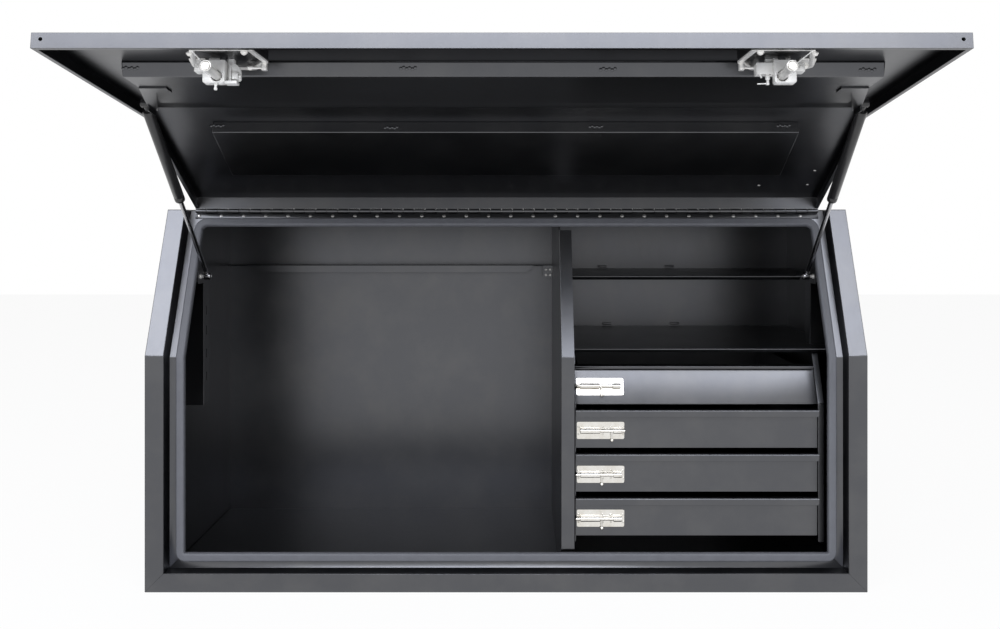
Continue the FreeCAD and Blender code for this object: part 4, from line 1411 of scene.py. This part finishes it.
    def _cam(self, form: Form) -> None:
        """Add the left latch's arched cam plate, its foot, upright strip and lever.

        Args:
            form: the mesh being built.
        """
        right = self.middle - self.case_half
        left = right - 22.0
        edge = right + 0.5
        arch = Outline(((left, 25.0, 20.5), (edge, 25.0, 0.4), (edge, 57.0, 0.4),
                        (left, 57.0, 4.0)), 12)
        lofted(form, arch, plate_profile(-1.0, 4.6, 0.7), upright=True)
        for low, high, soft in (
                ((right - 6.5, 30.0, -6.0), (right - 3.5, 62.0, 0.5), 0.5),
                ((left + 3.0, 44.0, -9.0), (right - 8.5, 56.0, 0.5), 1.0),
                ((left + 2.5, 60.0, -16.0), (edge, self.case_top, 0.5), 0.9),
                ((right - 9.0, 18.05, 1.0), (right + 2.5, 30.0, 13.0), 0.8)):
            slab(form, low, high, soft)
        bar(form, Vector((left + 4.0, 50.0, 0.0)), Vector((left, 50.0, -6.0)), 2.2)
        turned(form, self.cam_pin, Vector((self.middle - 2.5, self.case_top - 1.0, -13.0)),
               Vector((0, 1, 0)), 16)

    def _barrel(self, form: Form) -> None:
        """Add the right latch's spring barrel with its cap, cross pin and spring wire.

        Args:
            form: the mesh being built.
        """
        right = self.middle - self.case_half
        left = right - 27.0
        edge = right + 0.5
        block = Outline(((left, 27.6, 1.4), (edge, 27.6, 0.3), (edge, 46.6, 0.3),
                         (left, 46.6, 1.4)))
        lofted(form, block, plate_profile(-9.4, 9.4, 1.0), upright=True)
        sleeve(form, Vector((left + 5.0, 37.1, 0.0)), Vector((left - 0.4, 37.1, 0.0)), 7.6, 3.0,
               0.6)
        x = right - 8.0
        turned(form, self.barrel_pin, Vector((x, 45.0, -4.0)), Vector((0, 1, 0)), 18)
        for start, end, radius in (((x, 62.0, -4.0), (x - 17.0, 62.0, -2.0), 1.1),
                                   ((x, 51.0, -3.0), (right + 1.0, 47.0, -6.0), 1.4),
                                   ((x - 13.0, 45.6, -5.0), (x - 10.0, 53.0, -5.0), 1.5)):
            bar(form, Vector(start), Vector(end), radius)
        slab(form, (right - 9.0, 18.05, 2.0), (right + 2.5, 30.0, 9.0), 0.5)

    def _handle(self) -> None:
        """Turning handle with a domed grip, its spindle and the key plug."""
        inward = Vector((0, 1, 0))
        form, drill = bmesh.new(), bmesh.new()
        lofted(form, box_outline(-42.0, 42.0, -9.0, 9.0, 8.5, 8), self.grip)
        turned(form, self.spindle, Vector(), inward, 36)
        turned(drill, [(6.2, -2.0), (6.2, 8.7)], Vector(), inward, 32)
        self.enter(carved(form, drill), "latch_handle_")
        plug, slot = bmesh.new(), bmesh.new()
        turned(plug, self.plug, Vector(), inward, 28)
        slab(slot, (-0.7, -2.0, -3.5), (0.7, 4.5, 3.5))
        self.enter(carved(plug, slot), "lock_plug_")

    def _bolt(self) -> None:
        """Spring bolt with its ringed end."""
        form = bmesh.new()
        turned(form, self.spring_bolt, Vector((self.bolt_x, self.bolt_depth, 0.0)),
               Vector((0, 0, 1)), 36)
        self.enter(form, "latch_bolt_")


@dataclass
class BarrelBolt:
    """Barrel bolt on one drawer face, in millimetres: x across, y behind the front, z up."""

    forge: Forge
    form: BoxForm
    number: int
    leans: bool = False
    drawn_back: float = 0.0
    first: float = 105.0
    pitch: float = 100.0
    left: float = 160.0
    face: float = 66.0
    axis: float = 7.0
    height: float = 40.0
    length: float = 109.0
    rise: float = 40.0
    guides: Tuple[Point, ...] = ((8.0, 53.0), (83.0, 102.0))
    guide_radius: float = 6.5
    guide_half: float = 6.4
    bore: float = 4.4
    slot: Tuple[float, float, float, float] = (36.0, 54.0, 3.4, 13.0)
    screws: Tuple[float, ...] = (4.5, 60.0, 78.0, 105.8)
    screw_rise: float = 8.5
    round_bolt: Tuple[Point, ...] = ((0.0, -4.0), (2.6, -4.0), (3.5, -3.4), (4.0, -2.2),
                                     (4.0, 86.2), (3.3, 87.0), (0.0, 87.0))
    stem_place: float = 57.0
    stem: Tuple[Point, ...] = ((2.5, 2.6), (2.5, 4.4), (2.3, 5.0), (2.3, 17.6), (2.9, 18.4),
                               (3.7, 19.3), (4.15, 21.0), (3.8, 22.8), (2.9, 24.2), (1.5, 25.0),
                               (0.0, 25.2))

    @property
    def middle(self) -> Vector:
        """Where the bolt's axis meets the plate's left edge."""
        low = self.first + self.pitch * (self.number - 1)
        return Vector((self.left, self.face - self.axis, low + self.rise))

    @property
    def place(self) -> Matrix:
        """Place of the drawing.

        Returns:
            Carries the drawing onto the drawer's face.
        """
        at = self.form.closed_mm(Side.RIGHT)
        if not self.leans:
            return at
        pivot = Vector((0, self.face, self.middle.z - self.rise))
        return (at @ Matrix.Translation(pivot) @ Matrix.Rotation(-self.form.slope, 4, "X")
                @ Matrix.Translation(-pivot))

    def build(self) -> None:
        """Make the plate with its guides and the sliding bolt."""
        self._plate()
        self._bolt()

    def _plate(self) -> None:
        """Plate with rounded corners, two guides, a knob slot and its screws."""
        left, y, middle = self.middle
        form, drill = bmesh.new(), bmesh.new()
        flat = box_outline(left, left + self.length, middle - self.height / 2,
                           middle + self.height / 2, 4.0, 5)
        lofted(form, flat, [(0.0, self.face - 0.02), (0.0, self.face - 1.1),
                            (0.5, self.face - 1.5)])
        rim = self.guide_radius - 0.6
        for start, end in self.guides:
            turned(form, [(rim, 0.0), (self.guide_radius, 0.6),
                          (self.guide_radius, end - start - 0.6), (rim, end - start)],
                   Vector((left + start, y, middle)), Vector((1, 0, 0)), 28)
            slab(form, (left + start, y, middle - self.guide_half),
                 (left + end, self.face - 1.0, middle + self.guide_half), 0.6)
        turned(drill, [(self.bore, -3.0), (self.bore, self.length + 3.0)],
               Vector((left, y, middle)), Vector((1, 0, 0)), 28)
        start, end, half, drop = self.slot
        slab(drill, (left + start, y - half, middle - drop), (left + end, y + half, middle))
        form = carved(form, drill)
        for x in self.screws:
            for z in (-self.screw_rise, self.screw_rise):
                screw(form, Vector((left + x, self.face - 1.4, middle + z)),
                      Vector((0, -1, 0)), 2.3, 1.3)
        form.transform(self.place)
        node = f"bolt_plate_{self.number}"
        self.forge.enter(form, node + "_made", node)

    def _bolt(self) -> None:
        """Round bolt with its knob hanging from a thin stem."""
        start = self.middle + Vector((self.drawn_back, 0, 0))
        form = bmesh.new()
        turned(form, self.round_bolt, start, Vector((1, 0, 0)), 24)
        turned(form, self.stem, start + Vector((self.stem_place, 0, 0)), Vector((0, 0, -1)), 22)
        form.transform(self.place)
        node = f"barrel_bolt_{self.number}"
        self.forge.enter(form, node + "_turned", node)


@dataclass
class Fasteners:
    """Rivets through the lid and the screws of the rear rail, in millimetres."""

    forge: Forge
    form: BoxForm
    lid_edge: float = 746.5
    lid_top: float = 862.0
    lid_places: Tuple[Point, ...] = ((152.5, 97.0), (39.5, 101.0), (153.5, 38.0), (40.5, 41.0))
    lid_skin: Point = (-0.02, 2.52)
    rivet: Point = (3.6, 1.15)
    rail_places: Tuple[Point, ...] = ((18.0, 27.5), (18.0, 12.5), (6.0, 27.5), (6.0, 12.5))
    rail_corner: Triple = (124.0, 575.5, 701.5)
    rail_screw: Point = (3.5, 3.8)

    def build(self) -> None:
        """Make both sets."""
        to_row = self.form.closed_mm(Side.RIGHT)
        outside, inside = self.lid_skin
        form = bmesh.new()
        for inset, drop in self.lid_places:
            x, z = self.lid_edge - inset, self.lid_top - drop
            turned(form, dome(*self.rivet), Vector((x, inside, z)), Vector((0, 1, 0)), 18)
            turned(form, dome(*self.rivet), Vector((x, outside, z)), Vector((0, -1, 0)), 18)
        form.transform(self.form.open_lid @ self.form.lean @ to_row)
        self.forge.enter(form, "lid_rivet_set", "lid_rivets", 80.0)
        x, y, z = self.rail_corner
        form = bmesh.new()
        for inset, drop in self.rail_places:
            screw(form, Vector((x - inset, y, z - drop)), Vector((0, -1, 0)), *self.rail_screw)
        form.transform(to_row)
        self.forge.enter(form, "rail_screw_set", "rail_bolts", 60.0)


@dataclass
class WeldMarks:
    """Weld lumps on the stiffeners' sides and weld tabs on the back, in millimetres."""

    forge: Forge
    form: BoxForm
    upper_places: Tuple[Point, ...] = ((-611.9, 9.4), (-243.0, 13.4), (191.5, 11.4), (590.1, 9.4))
    lower_places: Tuple[Point, ...] = ((-649.2, 13.5), (-165.7, 13.5), (182.1, 15.3),
                                       (634.3, 16.1))
    upper_side: Triple = (573.0, 22.5, 9.0)
    lower_side: Triple = (198.0, 26.0, 9.0)
    skin: float = 1.5
    lump: Point = (3.4, 1.6)
    lump_pitch: float = 5.0
    lump_offsets: Tuple[float, ...] = (0.6, -1.2, 1.0, -0.4, 1.4, -0.8)
    tabs: Tuple[Point, ...] = ((268.0, 693.0), (460.0, 693.5), (281.0, 529.5), (475.0, 530.0))
    tab_half: float = 13.0
    tab_height: float = 6.5
    tab_depths: Point = (613.5, 618.4)

    def build(self) -> None:
        """Make the lumps on the lid and the tabs on the back panel."""
        to_row = self.form.closed_mm(Side.RIGHT)
        form = bmesh.new()
        for place in self.upper_places:
            self._row(form, place, self.upper_side)
        form.transform(to_row.inverted() @ self.form.lean @ to_row)
        for place in self.lower_places:
            self._row(form, place, self.lower_side)
        form.transform(self.form.open_lid @ to_row)
        self.forge.enter(form, "lid_weld_marks", "lid_panel", 80.0, False)
        back = bmesh.new()
        front, rear = self.tab_depths
        for x, z in self.tabs:
            slab(back, (x - self.tab_half, front, z),
                 (x + self.tab_half, rear, z + self.tab_height), 1.8)
        back.transform(to_row)
        self.forge.enter(back, "back_weld_tabs", "back_panel", stands_in=False)

    def _row(self, form: Form, place: Point, side: Triple) -> None:
        """Add one short row of lumps on a stiffener's sloping side.

        Args:
            form: the mesh being built.
            place: middle of the row across the lid and its depth behind the skin.
            side: where the side starts, its depth and its rise.
        """
        low, depth, rise = side
        x, behind = place
        out = Vector((0.0, rise, -depth)).normalized()
        along = Vector((0.0, depth, rise)).normalized()
        foot = Vector((x, self.skin, low)) + along * ((behind - self.skin) / along.y)
        start = self.lump_pitch * (len(self.lump_offsets) - 1) / 2
        for step, offset in enumerate(self.lump_offsets):
            across = Vector((self.lump_pitch * step - start, 0, 0))
            turned(form, dome(*self.lump), foot + across + along * offset - out * 0.1, out, 12)


@dataclass
class Studio:
    """Pale floor, soft lights and the camera."""

    floor_half: float = 9.0
    floor_grey: float = 0.95
    floor_glow: float = 0.93
    ambient: float = 0.3
    light_colour: Triple = (0.93, 0.96, 1.04)
    key_place: Triple = (-0.4, -3.7, 3.6)
    key_size: Point = (7.0, 2.6)
    key_power: float = 290.0
    key_aim: Triple = (0.0, -0.2, 0.5)
    fill_place: Triple = (-0.3, -3.4, 0.35)
    fill_size: Point = (3.0, 0.7)
    fill_power: float = 34.0
    fill_aim: Triple = (0.0, -0.2, 1.0)
    camera_place: Triple = (0.023, -2.408, 0.808)
    lens: float = 34.153
    sensor: float = 36.0
    shift: Point = (-0.0165, -0.0872)
    clip: Point = (0.05, 100.0)

    def build(self) -> None:
        """Set the stage."""
        self._floor()
        self._world()
        self._softbox("key_softbox", self.key_place, self.key_size, self.key_power, self.key_aim)
        fill = self._softbox("fill_softbox", self.fill_place, self.fill_size, self.fill_power,
                             self.fill_aim)
        fill.visible_glossy = False
        self._camera()
        bpy.context.scene.view_settings.view_transform = "Standard"

    def _floor(self) -> None:
        """Pale floor that keeps a soft shadow and reads nearly white."""
        form = bmesh.new()
        bmesh.ops.create_grid(form, x_segments=1, y_segments=1, size=self.floor_half)
        mesh = bpy.data.meshes.new("studio_floor")
        form.to_mesh(mesh)
        form.free()
        floor = link("studio_floor", mesh)
        shade = Shade(bpy.data.materials.new("pale_floor"))
        matt = shade.node("ShaderNodeBsdfDiffuse", {}, {"Color": (*[self.floor_grey] * 3, 1.0)})
        glow = shade.node("ShaderNodeEmission", {}, {"Color": (1.0, 1.0, 1.0, 1.0),
                                                     "Strength": 1.0})
        mixed = shade.node("ShaderNodeMixShader", {}, {0: shade.seen() * self.floor_glow,
                                                       1: matt, 2: glow})
        shade.node("ShaderNodeOutputMaterial", {}, {"Surface": mixed})
        mesh.materials.append(shade.block)

    def _world(self) -> None:
        """White where it is seen or mirrored, dimmer as light."""
        world = bpy.data.worlds.new("studio_world")
        bpy.context.scene.world = world
        shade = Shade(world)
        dim, white = (shade.node("ShaderNodeBackground", {}, {"Color": (1.0, 1.0, 1.0, 1.0),
                                                              "Strength": strength})
                      for strength in (self.ambient, 1.0))
        mixed = shade.node("ShaderNodeMixShader", {}, {0: shade.seen(), 1: dim, 2: white})
        shade.node("ShaderNodeOutputWorld", {}, {"Surface": mixed})

    def _softbox(self, name: str, place: Triple, size: Point, power: float,
                 aim: Triple) -> bpy.types.Object:
        """Add a softbox.

        Args:
            name: the lamp's name.
            place: where it stands.
            size: width and height of its face.
            power: strength in watts.
            aim: the point that it faces.

        Returns:
            The lamp.
        """
        data = bpy.data.lights.new(name, "AREA")
        data.shape = "RECTANGLE"
        data.size, data.size_y = size
        data.energy = power
        data.color = self.light_colour
        lamp = link(name, data)
        lamp.location = place
        ahead = Vector(aim) - Vector(place)
        lamp.rotation_euler = ahead.to_track_quat("-Z", "Y").to_euler()
        return lamp

    def _camera(self) -> None:
        """Level camera in front of the opening."""
        data = bpy.data.cameras.new("camera")
        data.lens = self.lens
        data.sensor_width = self.sensor
        data.shift_x, data.shift_y = self.shift
        data.clip_start, data.clip_end = self.clip
        camera = link("camera", data)
        camera.location = self.camera_place
        camera.rotation_euler = (math.pi / 2, 0.0, 0.0)
        bpy.context.scene.camera = camera


def main() -> None:
    """Build the toolbox's pieces, then the stage."""
    logging.basicConfig(level=logging.INFO, format="%(message)s")
    finishes = Finishes()
    forge = Forge(finishes)
    form = BoxForm()
    for node, piece in frame["nodes"].items():
        finishes.dress(piece, forge.slots[node])
    Sheetwork(forge, form).build()
    DoorSeal(forge, form).build()
    PianoHinge(forge, form).build()
    for side in Side:
        LidLatch(forge, form, side).build()
        GasStrut(forge, form, side).build()
    StrutStuds(forge, form).build()
    for number, leans, drawn_back in ((1, False, 0.0), (2, False, 0.0), (3, False, 23.0),
                                      (4, True, 0.0)):
        BarrelBolt(forge, form, number, leans, drawn_back).build()
    Fasteners(forge, form).build()
    WeldMarks(forge, form).build()
    Studio().build()


if __name__ == "__main__":
    main()
